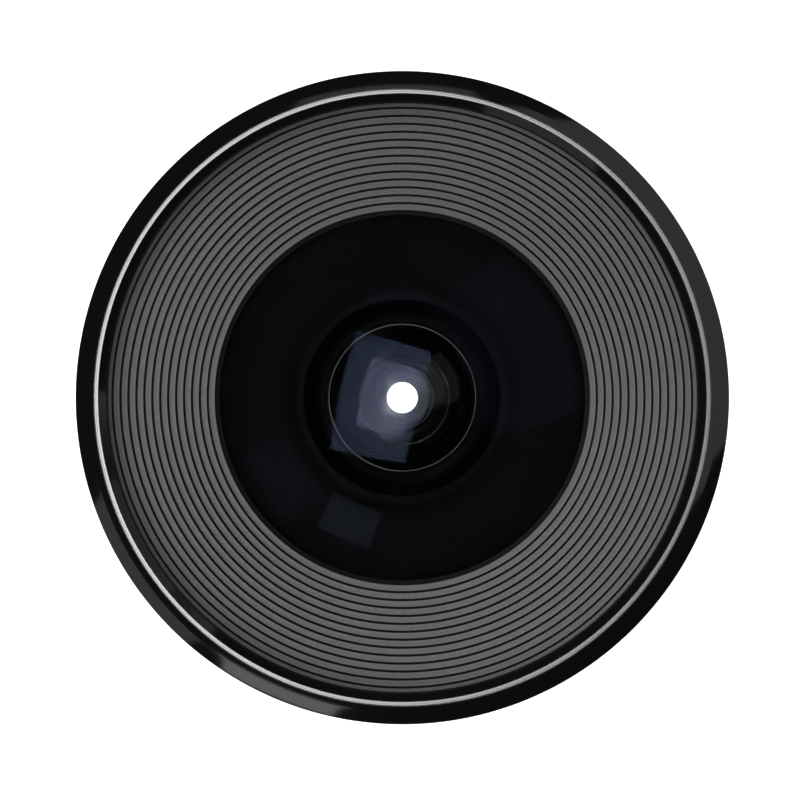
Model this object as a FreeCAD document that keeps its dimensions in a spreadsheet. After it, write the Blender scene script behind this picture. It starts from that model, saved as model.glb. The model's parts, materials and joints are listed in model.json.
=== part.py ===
import FreeCAD
import Part
import math
import os
import re

import Sketcher

# A wide-angle cine lens, 18 mm and T3.6 in kind, with a 114 mm front and a four-lobed bayonet mount.
# The optical axis is +Z and points at the subject. The origin is on the axis, on the seat of the
# mount's flange: the barrel below it goes into the camera, and the image lies 52 mm below it.
# All lengths are in millimetres and all angles in degrees.

document = FreeCAD.newDocument("cine_lens")
sheet = document.addObject("Spreadsheet::Sheet", "Sizes")

SIZES = {
    # Clearances and small common sizes
    "seat_clearance": 0.03,
    "running_clearance": 0.08,
    "ring_gap": 0.3,
    "edge_break": 0.4,
    "thread_clearance": 0.05,
    "head_clearance": 0.09,
    # Camera mount
    "mount_barrel_radius": 26.97,
    "mount_barrel_length": 12.5,
    "mount_barrel_wall": 2.47,
    "mount_bore_step": 1.0,
    "shroud_height": 7.7,
    "shroud_thickness": 1.2,
    "shroud_opening": 11.5,
    "lobe_count": 4,
    "lobe_reach": 4.0,
    "lobe_height": 2.2,
    "lobe_angle": 46.0,
    "neck_step": 3.03,
    "neck_height": 2.8,
    "mount_base_step": 2.5,
    "mount_base_height": 3.0,
    "locating_slot_width": 3.2,
    "locating_slot_depth": 2.4,
    "shim_thickness": 0.3,
    # Fixed barrel
    "rear_barrel_step": 0.7,
    "rear_barrel_height": 5.4,
    "rear_floor_height": 3.7,
    "rear_floor_land": 2.4,
    "guide_wall": 3.0,
    "guide_foot_wall": 5.0,
    "guide_flange_step": 0.3,
    "guide_flange_height": 4.5,
    "index_ring_height": 5.7,
    "index_cone": 1.9,
    "index_step": 0.5,
    # Front ring, bezel and baffle
    "front_step": 7.2,
    "front_edge_round": 0.2,
    "flare_wall": 1.17,
    "flare_height": 5.0,
    "front_chamfer_width": 1.95,
    "front_chamfer_drop": 0.858,
    "front_band_drop": 0.35,
    "bezel_inset": 3.18,
    "bezel_width": 0.8,
    "bezel_height": 2.0,
    "bezel_stand": 0.25,
    "bezel_edge": 0.12,
    "bezel_slope_drop": 0.07,
    "bezel_seat_step": 0.8,
    "front_slope_drop": 1.0,
    "front_slope_stand": 0.657,
    "front_slope_width": 1.42,
    "front_web_height": 3.0,
    "baffle_inner_step": 0.76,
    "baffle_groove_count": 13,
    "baffle_first_tread": 1.25,
    "baffle_last_tread": 1.014,
    "baffle_groove_width": 0.4,
    "baffle_groove_depth": 0.5,
    "baffle_step": 0.7,
    "baffle_lip_height": 1.2,
    "baffle_wall": 2.0,
    "baffle_roof": 2.4,
    "baffle_gap": 0.1,
    # Front elements and their cell
    "element_one_rise": 2.4765,
    "element_one_front_curve": 62.0,
    "element_one_rear_curve": 20.4,
    "element_one_thickness": 3.4,
    "element_one_radius": 33.8,
    "element_one_rear_radius": 17.6,
    "element_two_drop": 13.5,
    "element_two_front_curve": 64.0,
    "element_two_rear_curve": 19.0,
    "element_two_thickness": 2.2,
    "element_two_radius": 17.0,
    "element_two_rear_radius": 15.0,
    "element_two_land": 0.4,
    "element_two_retainer_wall": 2.0,
    "element_two_retainer_height": 1.3,
    "cell_shoulder": 1.7,
    "cell_shoulder_height": 1.5,
    "cell_tube_wall": 1.95,
    "cell_outer_wall": 2.4,
    "cell_web_height": 3.0,
    "cell_skirt_length": 10.0,
    "cell_flange_inset": 6.4,
    "cell_flange_height": 2.0,
    "element_one_land": 1.7,
    "front_retainer_wall": 1.2,
    "front_cell_wall": 1.5,
    "front_retainer_height": 0.85,
    "front_retainer_clearance": 0.2,
    # Focus carriage and its elements
    "carriage_rise": 4.0,
    "carriage_height": 20.0,
    "carriage_wall": 2.0,
    "carriage_web_height": 2.5,
    "carriage_web_rise": 9.5,
    "carriage_tube_wall": 3.6,
    "carriage_tube_foot": 1.6,
    "focus_travel": 4.0,
    "focus_turn": 300.0,
    "element_three_rise": 16.0,
    "element_three_front_curve": 67.7,
    "element_three_rear_curve": 80.0,
    "element_three_thickness": 6.0,
    "element_three_radius": 14.0,
    "element_four_gap": 3.0,
    "element_four_front_curve": 29.9,
    "element_four_rear_curve": 30.0,
    "element_four_thickness": 1.8,
    "doublet_step": 1.0,
    "element_five_rear_curve": 68.4,
    "element_five_thickness": 6.0,
    "group_land": 1.0,
    "carriage_retainer_height": 1.8,
    # Cam sleeve and followers
    "sleeve_wall": 3.02,
    "sleeve_rise": 2.0,
    "cam_depth": 1.5,
    "roller_radius": 1.5,
    "roller_length": 3.75,
    "roller_bore": 0.95,
    "slot_clearance": 0.05,
    "follower_count": 3,
    "follower_top": 2.0,
    "follower_stagger": 7.8,
    "follower_head_height": 0.6,
    "follower_head_radius": 1.4,
    "follower_shank_radius": 0.9,
    # Focus ring
    "focus_ring_height": 33.7,
    "focus_ring_wall": 6.87,
    "focus_cone": 3.5,
    "focus_scale_height": 18.0,
    "focus_relief_depth": 1.1,
    "focus_relief_height": 1.0,
    "focus_gear_height": 8.0,
    "focus_gear_stand": 0.5,
    "gear_module": 0.8,
    "gear_flank_angle": 20.0,
    "focus_lip_height": 1.7,
    # Iris ring
    "iris_ring_height": 13.7,
    "iris_ring_wall": 3.62,
    "iris_relief_depth": 0.2,
    "iris_gear_rise": 0.8,
    "iris_gear_height": 6.5,
    "iris_gear_stand": 1.6,
    "iris_turn": 48.0,
    # Iris unit
    "iris_unit_drop": 8.2,
    "stop_radius": 7.6,
    "iris_plate_thickness": 1.5,
    "iris_plate_rim": 3.4,
    "blade_count": 9,
    "blade_thickness": 0.12,
    "blade_pitch": 0.22,
    "blade_stand": 0.45,
    "blade_width": 4.45,
    "blade_pivot_step": 5.0,
    "blade_sweep": 85.0,
    "blade_drive_angle": 22.0,
    "blade_tab_radius": 1.2,
    "blade_pin_radius": 0.6,
    "blade_closed_radius": 1.15,
    "drive_ring_thickness": 1.2,
    "drive_ring_rim": 3.7,
    "drive_ring_rim_height": 4.0,
    "drive_gap": 0.1,
    "drive_clearance": 0.24,
    "drive_slot_clearance": 0.1,
    "drive_pin_radius": 1.2,
    "drive_pin_angle": 150.0,
    "snap_ring_thickness": 1.0,
    "snap_ring_depth": 0.5,
    "snap_ring_width": 2.4,
    "snap_ring_gap": 14.0,
    # Rear elements and their cell
    "element_six_rise": 5.0,
    "element_six_front_curve": 34.0,
    "element_six_rear_curve": 40.0,
    "element_six_thickness": 4.0,
    "element_six_radius": 9.5,
    "element_six_retainer_width": 2.2,
    "element_seven_gap": 2.5,
    "element_seven_front_curve": 24.0,
    "element_seven_rear_curve": 22.0,
    "element_seven_thickness": 1.4,
    "element_eight_rear_curve": 25.6,
    "element_eight_thickness": 5.6,
    "rear_doublet_step": 0.5,
    "element_nine_gap": 1.0,
    "element_nine_front_curve": 80.0,
    "element_nine_rear_curve": 32.0,
    "element_nine_thickness": 4.2,
    "element_nine_step": 0.5,
    "rear_lip_land": 0.9,
    "rear_tube_wall": 1.1,
    "rear_tube_rise": 5.6,
    "rear_tube_depth": 15.2,
    "rear_flange_height": 2.5,
    "rear_flange_margin": 0.2,
    "rear_retainer_height": 1.6,
    "rear_retainer_wall": 1.0,
    "rear_retainer_land": 1.2,
    "rear_spacer_wall": 1.0,
    # Stops
    "stop_pin_radius": 0.75,
    "stop_pin_height": 1.5,
    "stop_pin_root": 3.0,
    "stop_groove_clearance": 0.1,
    "focus_stop_step": 1.6,
    "focus_stop_angle": 20.0,
    "iris_stop_step": 1.42,
    "iris_stop_angle": 80.0,
    # Fasteners: the head's radius, the head's height and the socket are ratios of the thread's radius
    "head_ratio": 1.8,
    "head_height_ratio": 1.9,
    "socket_ratio": 0.95,
    "slot_width_ratio": 0.36,
    "slot_depth_ratio": 0.5,
    "front_screw_count": 6,
    "front_screw_start": 15.0,
    "front_screw_inset": 3.3,
    "front_screw_radius": 1.5,
    "front_screw_length": 6.0,
    "cell_screw_count": 4,
    "cell_screw_start": 0.0,
    "cell_screw_inset": 3.0,
    "cell_screw_radius": 1.25,
    "cell_screw_length": 5.0,
    "core_screw_count": 3,
    "core_screw_start": 30.0,
    "core_screw_radius": 1.25,
    "core_screw_length": 6.0,
    "rear_screw_count": 3,
    "rear_screw_start": 90.0,
    "rear_screw_inset": 2.9,
    "rear_screw_radius": 1.0,
    "rear_screw_length": 5.0,
    "mount_screw_count": 6,
    "mount_screw_start": 0.0,
    "mount_screw_inset": 3.4,
    "mount_screw_radius": 1.25,
    "mount_screw_length": 3.8,
    "set_screw_count": 3,
    "set_screw_start": 45.0,
    "set_screw_radius": 1.25,
    "set_screw_seat": 1.0,
    "set_screw_inset": 2.0,
}

for row, (alias, number) in enumerate(SIZES.items(), start=1):
    cell = "A" + str(row)
    sheet.set(cell, str(number))
    sheet.setAlias(cell, alias)
document.recompute()


def bind(words):
    """Writes the sheet's name before each alias in an expression."""
    return re.sub(r"[a-z_]+", lambda m: "Sizes." + m[0] if m[0] in SIZES else m[0], words)


def value(words):
    """The number that an expression on the sheet's aliases gives."""
    return float(sheet.evalExpression(bind(words)))


def sag(curve, radius):
    """How far a spherical surface falls from its vertex at a radius."""
    return f"({curve} - sqrt(({curve}) ^ 2 - ({radius}) ^ 2))"


# Radii, each from the piece inside or outside it: the barrel is built round the front element
front_retainer_opening = "(element_one_radius - element_one_land)"
front_retainer_radius = "(element_one_radius + front_retainer_wall)"
guide_bore = f"({front_retainer_radius} + front_cell_wall)"
guide_radius = f"({guide_bore} + guide_wall)"
ring_bore = f"({guide_radius} + running_clearance)"
sleeve_radius = f"({ring_bore} + sleeve_wall)"
focus_scale_radius = f"({sleeve_radius} + seat_clearance + focus_ring_wall)"
focus_relief_radius = f"({focus_scale_radius} - focus_relief_depth)"
focus_rear_radius = f"({focus_scale_radius} - focus_cone)"
index_front_radius = f"({focus_rear_radius} - index_step)"
index_rear_radius = f"({index_front_radius} - index_cone)"
iris_ring_radius = f"({ring_bore} + iris_ring_wall)"
iris_relief_radius = f"({iris_ring_radius} - iris_relief_depth)"
rear_barrel_radius = f"({iris_ring_radius} - rear_barrel_step)"
guide_flange_radius = f"({focus_scale_radius} + guide_flange_step)"
cell_flange_radius = f"({guide_flange_radius} - cell_flange_inset)"
flare_radius = f"({guide_flange_radius} + seat_clearance + flare_wall)"
front_radius = f"({guide_flange_radius} + front_step)"
front_chamfer_radius = f"({front_radius} - front_chamfer_width)"
bezel_outer_radius = f"({front_radius} - bezel_inset)"
bezel_inner_radius = f"({bezel_outer_radius} - bezel_width)"
baffle_outer_radius = f"({bezel_inner_radius} - front_slope_width)"
baffle_inner_radius = f"({front_retainer_opening} + baffle_inner_step)"
first_groove = f"({baffle_inner_radius} + baffle_first_tread)"
last_groove = f"({baffle_outer_radius} - baffle_last_tread)"
groove_pitch = f"(({last_groove} - {first_groove}) / (baffle_groove_count - 1))"
element_two_opening = "(element_two_radius - element_two_land)"
element_two_retainer_radius = "(element_two_radius + element_two_retainer_wall)"
doublet_radius = "(element_three_radius - doublet_step)"
group_opening = f"({doublet_radius} - group_land)"
carriage_tube_radius = "(element_three_radius + carriage_tube_wall)"
blade_inner_radius = "(stop_radius + blade_stand)"
blade_outer_radius = f"({blade_inner_radius} + blade_width)"
blade_pivot_radius = f"({blade_outer_radius} + blade_pivot_step)"
rear_doublet_radius = "(element_six_radius + rear_doublet_step)"
rear_lip_opening = "(element_six_radius - rear_lip_land)"
rear_spacer_opening = f"({rear_doublet_radius} - rear_spacer_wall)"
element_nine_radius = f"({rear_doublet_radius} + element_nine_step)"
rear_retainer_radius = f"({element_nine_radius} + rear_retainer_wall)"
rear_retainer_opening = f"({element_nine_radius} - rear_retainer_land)"
rear_tube_radius = f"({rear_retainer_radius} + rear_tube_wall)"
rear_flange_radius = f"({guide_radius} - guide_foot_wall - rear_flange_margin)"
mount_base_radius = f"({rear_barrel_radius} - mount_base_step)"
mount_bore_radius = "(mount_barrel_radius - mount_barrel_wall)"
neck_radius = "(mount_barrel_radius + neck_step)"
lobe_radius = f"({neck_radius} + lobe_reach)"
CIRCLES = {
    "front_screw": f"({guide_flange_radius} - front_screw_inset)",
    "cell_screw": f"({cell_flange_radius} - cell_screw_inset)",
    "core_screw": f"({guide_radius} - guide_foot_wall / 2)",
    "rear_screw": f"({rear_flange_radius} - rear_screw_inset)",
    "mount_screw": f"({mount_base_radius} - mount_screw_inset)",
    "focus_stop": f"({sleeve_radius} + focus_stop_step)",
    "iris_stop": f"({ring_bore} + iris_stop_step)",
}
rear_floor_bore = "(" + CIRCLES["rear_screw"] + " - rear_floor_land)"

# Heights of the stack, each from the one below it
neck_bottom = "lobe_height"
base_bottom = "(lobe_height + neck_height)"
base_top = f"({base_bottom} + mount_base_height)"
shim_top = f"({base_top} + shim_thickness)"
guide_bottom = f"({shim_top} + rear_floor_height)"
rear_barrel_top = f"({shim_top} + rear_barrel_height)"
iris_ring_bottom = f"({rear_barrel_top} + ring_gap)"
iris_ring_top = f"({iris_ring_bottom} + iris_ring_height)"
index_bottom = f"({iris_ring_top} + ring_gap)"
index_top = f"({index_bottom} + index_ring_height)"
index_middle = f"({index_bottom} + index_ring_height / 2)"
focus_bottom = f"({index_top} + ring_gap)"
focus_top = f"({focus_bottom} + focus_ring_height)"
flange_bottom = f"({focus_top} + ring_gap)"
flange_top = f"({flange_bottom} + guide_flange_height)"
web_top = f"({flange_top} + front_web_height)"
collar_bottom = f"({flange_bottom} + flare_height)"
sleeve_top = f"({focus_top} - focus_lip_height)"
focus_screw_height = f"({sleeve_top} - set_screw_inset)"

# Heights inside the iris unit
plate_bottom = f"({iris_ring_top} - iris_unit_drop)"
plate_top = f"({plate_bottom} + iris_plate_thickness)"
rim_top = f"({plate_top} + blade_count * blade_pitch + drive_gap)"
drive_bottom = f"({rim_top} + drive_gap)"
drive_face = f"({drive_bottom} + drive_ring_thickness)"
drive_top = f"({drive_bottom} + drive_ring_rim_height)"
drive_pin_height = f"(({drive_face} + {drive_top}) / 2)"
drive_radius = f"({guide_bore} - drive_clearance)"
drive_rim_bore = f"({drive_radius} - drive_ring_rim)"
snap_bottom = f"({drive_top} + drive_gap)"
snap_top = f"({snap_bottom} + snap_ring_thickness)"

# Vertices of the elements, each from the frame or the element that it is spaced from
one_rim = f"({flange_top} + element_one_rise)"
one_vertex = f"({one_rim} + " + sag("element_one_front_curve", "element_one_radius") + ")"
one_rear = f"({one_vertex} - element_one_thickness)"
two_vertex = f"({one_vertex} - element_two_drop)"
two_rear = f"({two_vertex} - element_two_thickness)"
carriage_bottom = f"({focus_bottom} + carriage_rise)"
carriage_top = f"({carriage_bottom} + carriage_height)"
three_vertex = f"({carriage_bottom} + element_three_rise)"
three_rear = f"({three_vertex} - element_three_thickness)"
four_vertex = f"({three_rear} - element_four_gap)"
five_vertex = f"({four_vertex} - element_four_thickness)"
five_rear = f"({five_vertex} - element_five_thickness)"
six_vertex = f"({guide_bottom} + element_six_rise)"
six_rear = f"({six_vertex} - element_six_thickness)"
seven_vertex = f"({six_rear} - element_seven_gap)"
eight_vertex = f"({seven_vertex} - element_seven_thickness)"
eight_rear = f"({eight_vertex} - element_eight_thickness)"
nine_vertex = f"({eight_rear} - element_nine_gap)"
nine_rear = f"({nine_vertex} - element_nine_thickness)"
rear_tube_top = f"({guide_bottom} + rear_tube_rise)"

# Heights of the seats at the front
one_flat = f"({one_rear} - " + sag("element_one_rear_curve", "element_one_rear_radius") + ")"
two_rim = f"({two_vertex} - " + sag("element_two_front_curve", "element_two_radius") + ")"
two_flat = f"({two_rear} - " + sag("element_two_rear_curve", "element_two_rear_radius") + ")"
retainer_seat = f"({one_vertex} - " + sag("element_one_front_curve", front_retainer_opening) + ")"
retainer_top = f"({retainer_seat} + front_retainer_height)"
baffle_bottom = f"({retainer_top} + baffle_gap)"
first_tread = f"({baffle_bottom} + baffle_lip_height)"
last_tread = f"({first_tread} + baffle_groove_count * baffle_step)"
slope_bottom = f"({last_tread} + front_slope_stand)"
slope_top = f"({slope_bottom} + front_slope_drop)"
band_top = f"({slope_top} + bezel_seat_step)"
chamfer_top = f"({band_top} - front_band_drop)"
front_corner = f"({chamfer_top} - front_chamfer_drop)"
chamfer_slope = "(front_chamfer_drop / front_chamfer_width)"
chamfer_stretch = f"sqrt(1 + {chamfer_slope} * {chamfer_slope})"
edge_reach = f"(front_edge_round * ({chamfer_stretch} - {chamfer_slope}))"
collar_top = f"({front_corner} - {edge_reach})"
bezel_top = f"({band_top} + bezel_stand)"
bezel_bottom = f"({bezel_top} - bezel_height)"

# How deep the screws that pass two pieces bite into the second
mount_bite = (
    "(mount_screw_length - mount_base_height + mount_screw_radius * head_height_ratio"
    " - shim_thickness)"
)
core_bite = "(core_screw_length - rear_floor_height + core_screw_radius * head_height_ratio)"

# How far a cutting tool runs past the face that it cuts
REACH = 1.0


UP = FreeCAD.Vector(0, 0, 1)


def plane(body, role):
    """One of the body's own origin planes."""
    return next(feature for feature in body.Origin.OriginFeatures if feature.Role == role)


def outline_sketch(body, outline):
    """Draws a closed outline of (radius, height) expressions, with an arc where a curve is given.

    A third and fourth item give the radius of the arc that leads to the point and the side on which
    its centre lies: 1 for the left of the way from point to point, -1 for the right.
    """
    sketch = body.newObject("Sketcher::SketchObject", body.Name + "_outline")
    sketch.AttachmentSupport = (plane(body, "XZ_Plane"), [""])
    sketch.MapMode = "FlatFace"
    spots = [FreeCAD.Vector(value(point[0]), value(point[1]), 0) for point in outline]
    starts = []
    ends = []
    shapes = []
    for index, point in enumerate(outline):
        first = spots[index - 1]
        last = spots[index]
        if len(point) == 2:
            shapes.append(Part.LineSegment(first, last))
            starts.append(1)
            ends.append(2)
            continue
        radius = value(point[2])
        side = point[3]
        chord = last - first
        middle = (first + last) * 0.5
        left = FreeCAD.Vector(-chord.y, chord.x, 0).normalize()
        offset = math.sqrt(max(radius ** 2 - (chord.Length / 2) ** 2, 0))
        centre = middle + left * offset * side
        begin, finish = (first, last) if side > 0 else (last, first)
        angles = [math.atan2(spot.y - centre.y, spot.x - centre.x) for spot in (begin, finish)]
        circle = Part.Circle(centre, UP, radius)
        shapes.append(Part.ArcOfCircle(circle, angles[0], angles[1]))
        starts.append(1 if side > 0 else 2)
        ends.append(2 if side > 0 else 1)
    sketch.addGeometry(shapes, False)
    constraints = []
    expressions = []
    for index, point in enumerate(outline):
        following = (index + 1) % len(outline)
        constraints.append(
            Sketcher.Constraint("Coincident", index, ends[index], following, starts[following])
        )
        if point[0] == "0":
            constraints.append(Sketcher.Constraint("PointOnObject", index, ends[index], -2))
        else:
            expressions.append((len(constraints), point[0]))
            constraints.append(
                Sketcher.Constraint("DistanceX", index, ends[index], spots[index].x)
            )
        expressions.append((len(constraints), point[1]))
        constraints.append(Sketcher.Constraint("DistanceY", index, ends[index], spots[index].y))
        if len(point) == 4:
            expressions.append((len(constraints), point[2]))
            constraints.append(Sketcher.Constraint("Radius", index, value(point[2])))
    sketch.addConstraint(constraints)
    for number, words in expressions:
        sketch.setExpression(f"Constraints[{number}]", bind(words))
    return sketch


def turned(name, outline):
    """A body turned about the optical axis."""
    body = document.addObject("PartDesign::Body", name)
    body.Label = name
    sketch = outline_sketch(body, outline)
    turning = body.newObject("PartDesign::Revolution", name + "_turning")
    turning.Profile = sketch
    turning.ReferenceAxis = (sketch, ["V_Axis"])
    turning.Angle = 360
    body.Tip = turning
    document.recompute()
    return body


def drill(body, label, circle, radius, top, depth, count, start):
    """Holes parallel to the axis, on a circle, cut down from a height."""
    sketch = body.newObject("Sketcher::SketchObject", body.Name + "_" + label + "_hole")
    sketch.AttachmentSupport = (plane(body, "XY_Plane"), [""])
    sketch.MapMode = "FlatFace"
    sketch.setExpression("AttachmentOffset.Base.z", bind(top))
    centre = polar(value(circle), value(start), 0)
    sketch.addGeometry(Part.Circle(centre, UP, value(radius)), False)
    sketch.addConstraint(
        [
            Sketcher.Constraint("Radius", 0, value(radius)),
            Sketcher.Constraint("DistanceX", 0, 3, centre.x),
            Sketcher.Constraint("DistanceY", 0, 3, centre.y),
        ]
    )
    sketch.setExpression("Constraints[0]", bind(radius))
    sketch.setExpression("Constraints[1]", bind(f"{circle} * cos({start} * 1deg)"))
    sketch.setExpression("Constraints[2]", bind(f"{circle} * sin({start} * 1deg)"))
    pocket = body.newObject("PartDesign::Pocket", body.Name + "_" + label + "_pocket")
    pocket.Profile = sketch
    pocket.Length = value(depth)
    pocket.setExpression("Length", bind(depth))
    document.recompute()
    pattern = body.newObject("PartDesign::PolarPattern", body.Name + "_" + label + "_circle")
    pattern.Originals = [pocket]
    pattern.Axis = (sketch, ["N_Axis"])
    pattern.Angle = 360
    pattern.Occurrences = int(value(count))
    pattern.setExpression("Occurrences", bind(count))
    body.Tip = pattern
    document.recompute()


def screw_holes(body, screw, top, depth):
    """The holes of one circle of screws, cut down from a height."""
    drill(body, screw, CIRCLES[screw], screw + "_radius", top, depth, screw + "_count", screw + "_start")


def solid_feature(name, shape):
    """A document object that holds a shape made by Part's own functions."""
    feature = document.addObject("Part::Feature", name)
    feature.Label = name
    feature.Shape = shape
    feature.Placement = shape.Placement
    return feature


def cut(name, base, tools):
    """A sub-part that is its base less the tools."""
    tool = solid_feature(name + "_tools", Part.makeCompound(tools))
    result = document.addObject("Part::Cut", name)
    result.Label = name
    result.Base = base
    result.Tool = tool
    document.recompute()
    return result


def axis_turn(shape, angle):
    """A copy of the shape turned about the optical axis."""
    copy = shape.copy()
    copy.rotate(FreeCAD.Vector(0, 0, 0), UP, angle)
    return copy


def sector(inner, outer, bottom, top, start, sweep):
    """Part of a ring about the axis, from one angle through another."""
    origin = FreeCAD.Vector(0, 0, bottom)
    whole = Part.makeCylinder(outer, top - bottom, origin, UP, sweep)
    bore = Part.makeCylinder(inner, top - bottom, origin, UP, sweep)
    return axis_turn(whole.cut(bore), start)


def rod(radius, start, end):
    """A round bar between two points."""
    way = end - start
    return Part.makeCylinder(radius, way.Length, start, way)


def polar(radius, angle, height):
    """A point about the optical axis."""
    turn = math.radians(angle)
    return FreeCAD.Vector(radius * math.cos(turn), radius * math.sin(turn), height)


def radial_rod(radius, inner, outer, angle, height):
    """A round bar that points away from the axis."""
    return rod(radius, polar(inner, angle, height), polar(outer, angle, height))


def around(shape, count, start="0"):
    """Copies of the shape, evenly spaced about the axis."""
    copies = int(value(count))
    return [axis_turn(shape, value(start) + 360 * number / copies) for number in range(copies)]


def cap_screw(radius, length, circle, seat, up):
    """A socket cap screw whose head rests on a face at height seat, with its head above or below."""
    way = UP if up else UP * -1
    height = radius * value("head_height_ratio")
    base = FreeCAD.Vector(circle, 0, seat)
    head = Part.makeCylinder(radius * value("head_ratio"), height, base, way)
    shank = Part.makeCylinder(radius, length, base, way * -1)
    half_up = base + way * height / 2
    corners = [half_up + polar(radius * value("socket_ratio"), 60 * n, 0) for n in range(7)]
    socket = Part.Face(Part.makePolygon(corners)).extrude(way * height)
    return head.fuse(shank).cut(socket)


def set_screw(radius, inner, outer, height):
    """A slotted set screw along the X axis, flush with an outer face."""
    width = radius * value("slot_width_ratio")
    depth = radius * value("slot_depth_ratio")
    slot = Part.makeBox(depth + REACH, radius * 2 + REACH, width)
    slot.translate(FreeCAD.Vector(outer - depth, -radius - REACH / 2, height - width / 2))
    return radial_rod(radius, inner, outer, 0, height).cut(slot)


def set_screw_holes(inner, outer, height):
    """Tools that cut the holes of a ring's set screws."""
    hole = radial_rod(value("set_screw_radius"), value(inner), value(outer), 0, value(height))
    return around(hole, "set_screw_count", "set_screw_start")


def toothed_ring(name, pitch_radius, root_wall, bottom, height):
    """A ring of straight-flanked spur teeth of the common module, as many as its pitch circle holds."""
    module = value("gear_module")
    teeth = round(value(pitch_radius) * 2 / module)
    pitch = module * teeth / 2
    half_tooth = math.pi * module / 4
    flank = math.tan(math.radians(value("gear_flank_angle")))
    levels = [(-module, 1), (module, 1), (module, -1), (-module, -1)]
    corners = []
    for tooth in range(teeth):
        for rise, side in levels:
            radius = pitch + rise
            spread = (half_tooth - rise * flank) / radius * side * -1
            turn = math.degrees(spread) + 360 * tooth / teeth
            corners.append(polar(radius, turn, value(bottom)))
    corners.append(corners[0])
    rim = Part.Face(Part.makePolygon(corners)).extrude(UP * value(height))
    low = FreeCAD.Vector(0, 0, value(bottom) - REACH)
    hole = Part.makeCylinder(value(root_wall), value(height) + REACH * 2, low, UP)
    print(name, "teeth", teeth, "of pitch radius", pitch)
    return solid_feature(name, rim.cut(hole))


def camera_mount():
    """Steel bayonet flange with four lobes, a barrel that enters the camera and a screwed base."""
    body = turned(
        "camera_mount_blank",
        [
            ("mount_barrel_radius - edge_break", "-mount_barrel_length"),
            ("mount_barrel_radius", "-mount_barrel_length + edge_break"),
            ("mount_barrel_radius", "0"),
            (lobe_radius, "0"),
            (lobe_radius, neck_bottom),
            (neck_radius, neck_bottom),
            (neck_radius, base_bottom),
            (mount_base_radius, base_bottom),
            (mount_base_radius, base_top),
            (f"{mount_bore_radius} - mount_bore_step", base_top),
            (f"{mount_bore_radius} - mount_bore_step", "-mount_barrel_length + shroud_height"),
            (mount_bore_radius, "-mount_barrel_length + shroud_height"),
            (mount_bore_radius, "-mount_barrel_length"),
        ],
    )
    screw_holes(body, "mount_screw", base_top, "mount_base_height")
    gap = value("360 / lobe_count - lobe_angle")
    lobe = value(lobe_radius)
    height = value("lobe_height")
    between = sector(value(neck_radius), lobe + REACH, -REACH, height, 0, gap)
    tools = around(between, "lobe_count", "lobe_angle / 2")
    depth = value("locating_slot_depth")
    width = value("locating_slot_width")
    slot = Part.makeBox(depth + REACH, width, height + REACH * 2)
    slot.translate(FreeCAD.Vector(lobe - depth, -width / 2, -REACH))
    tools.append(slot)
    return cut("camera_mount", body, tools + counterbores("mount_screw", base_bottom))


def counterbores(screw, face):
    """Recesses, in a face seen from behind, that take the heads of screws flush."""
    radius = value(screw + "_radius")
    top = polar(value(CIRCLES[screw]), 0, value(f"{face} + {screw}_radius * head_height_ratio"))
    bottom = polar(value(CIRCLES[screw]), 0, value(face) - REACH)
    recess = rod(radius * value("head_ratio") + value("head_clearance"), bottom, top)
    return around(recess, screw + "_count", screw + "_start")


def screw_group(name, screw, seat, up):
    """The screws of one circle, as separate solids in one sub-part."""
    single = cap_screw(
        value(f"{screw}_radius - thread_clearance"),
        value(screw + "_length"),
        value(CIRCLES[screw]),
        value(seat),
        up,
    )
    return solid_feature(name, Part.makeCompound(around(single, screw + "_count", screw + "_start")))


def mount_shim():
    """Thin ring that sets the distance from the flange to the image."""
    body = turned(
        "mount_shim",
        [
            (rear_floor_bore, base_top),
            (mount_base_radius, base_top),
            (mount_base_radius, shim_top),
            (rear_floor_bore, shim_top),
        ],
    )
    screw_holes(body, "mount_screw", shim_top, "shim_thickness")
    return body


def rear_shroud():
    """Dark ring that closes the mount's bore round the last element."""
    bottom = "(shroud_height - mount_barrel_length - shroud_thickness)"
    top = "(shroud_height - mount_barrel_length)"
    return turned(
        "rear_shroud",
        [
            ("shroud_opening", bottom),
            (f"{mount_bore_radius} - seat_clearance", bottom),
            (f"{mount_bore_radius} - seat_clearance", top),
            ("shroud_opening + shroud_thickness", top),
        ],
    )


def rear_barrel():
    """Fixed ring behind the iris ring: the mount, the guide barrel and the rear cell bolt to it."""
    seat = f"{guide_radius} + seat_clearance"
    body = turned(
        "rear_barrel_blank",
        [
            (rear_floor_bore, shim_top),
            (f"{rear_barrel_radius} - edge_break * 2", shim_top),
            (rear_barrel_radius, f"{shim_top} + edge_break * 2"),
            (rear_barrel_radius, f"{rear_barrel_top} - edge_break"),
            (f"{rear_barrel_radius} - edge_break", rear_barrel_top),
            (seat, rear_barrel_top),
            (seat, guide_bottom),
            (rear_floor_bore, guide_bottom),
        ],
    )
    screw_holes(body, "mount_screw", f"{shim_top} + {mount_bite} + edge_break",
                f"{mount_bite} + edge_break")
    screw_holes(body, "core_screw", guide_bottom, "rear_floor_height")
    screw_holes(body, "rear_screw", guide_bottom,
                "rear_screw_length - rear_flange_height + edge_break")
    pin_hole = stop_pin_shape("iris_stop", guide_bottom, f"{rear_barrel_top} + edge_break")
    return cut("rear_barrel", body, counterbores("core_screw", shim_top) + [pin_hole])


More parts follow.
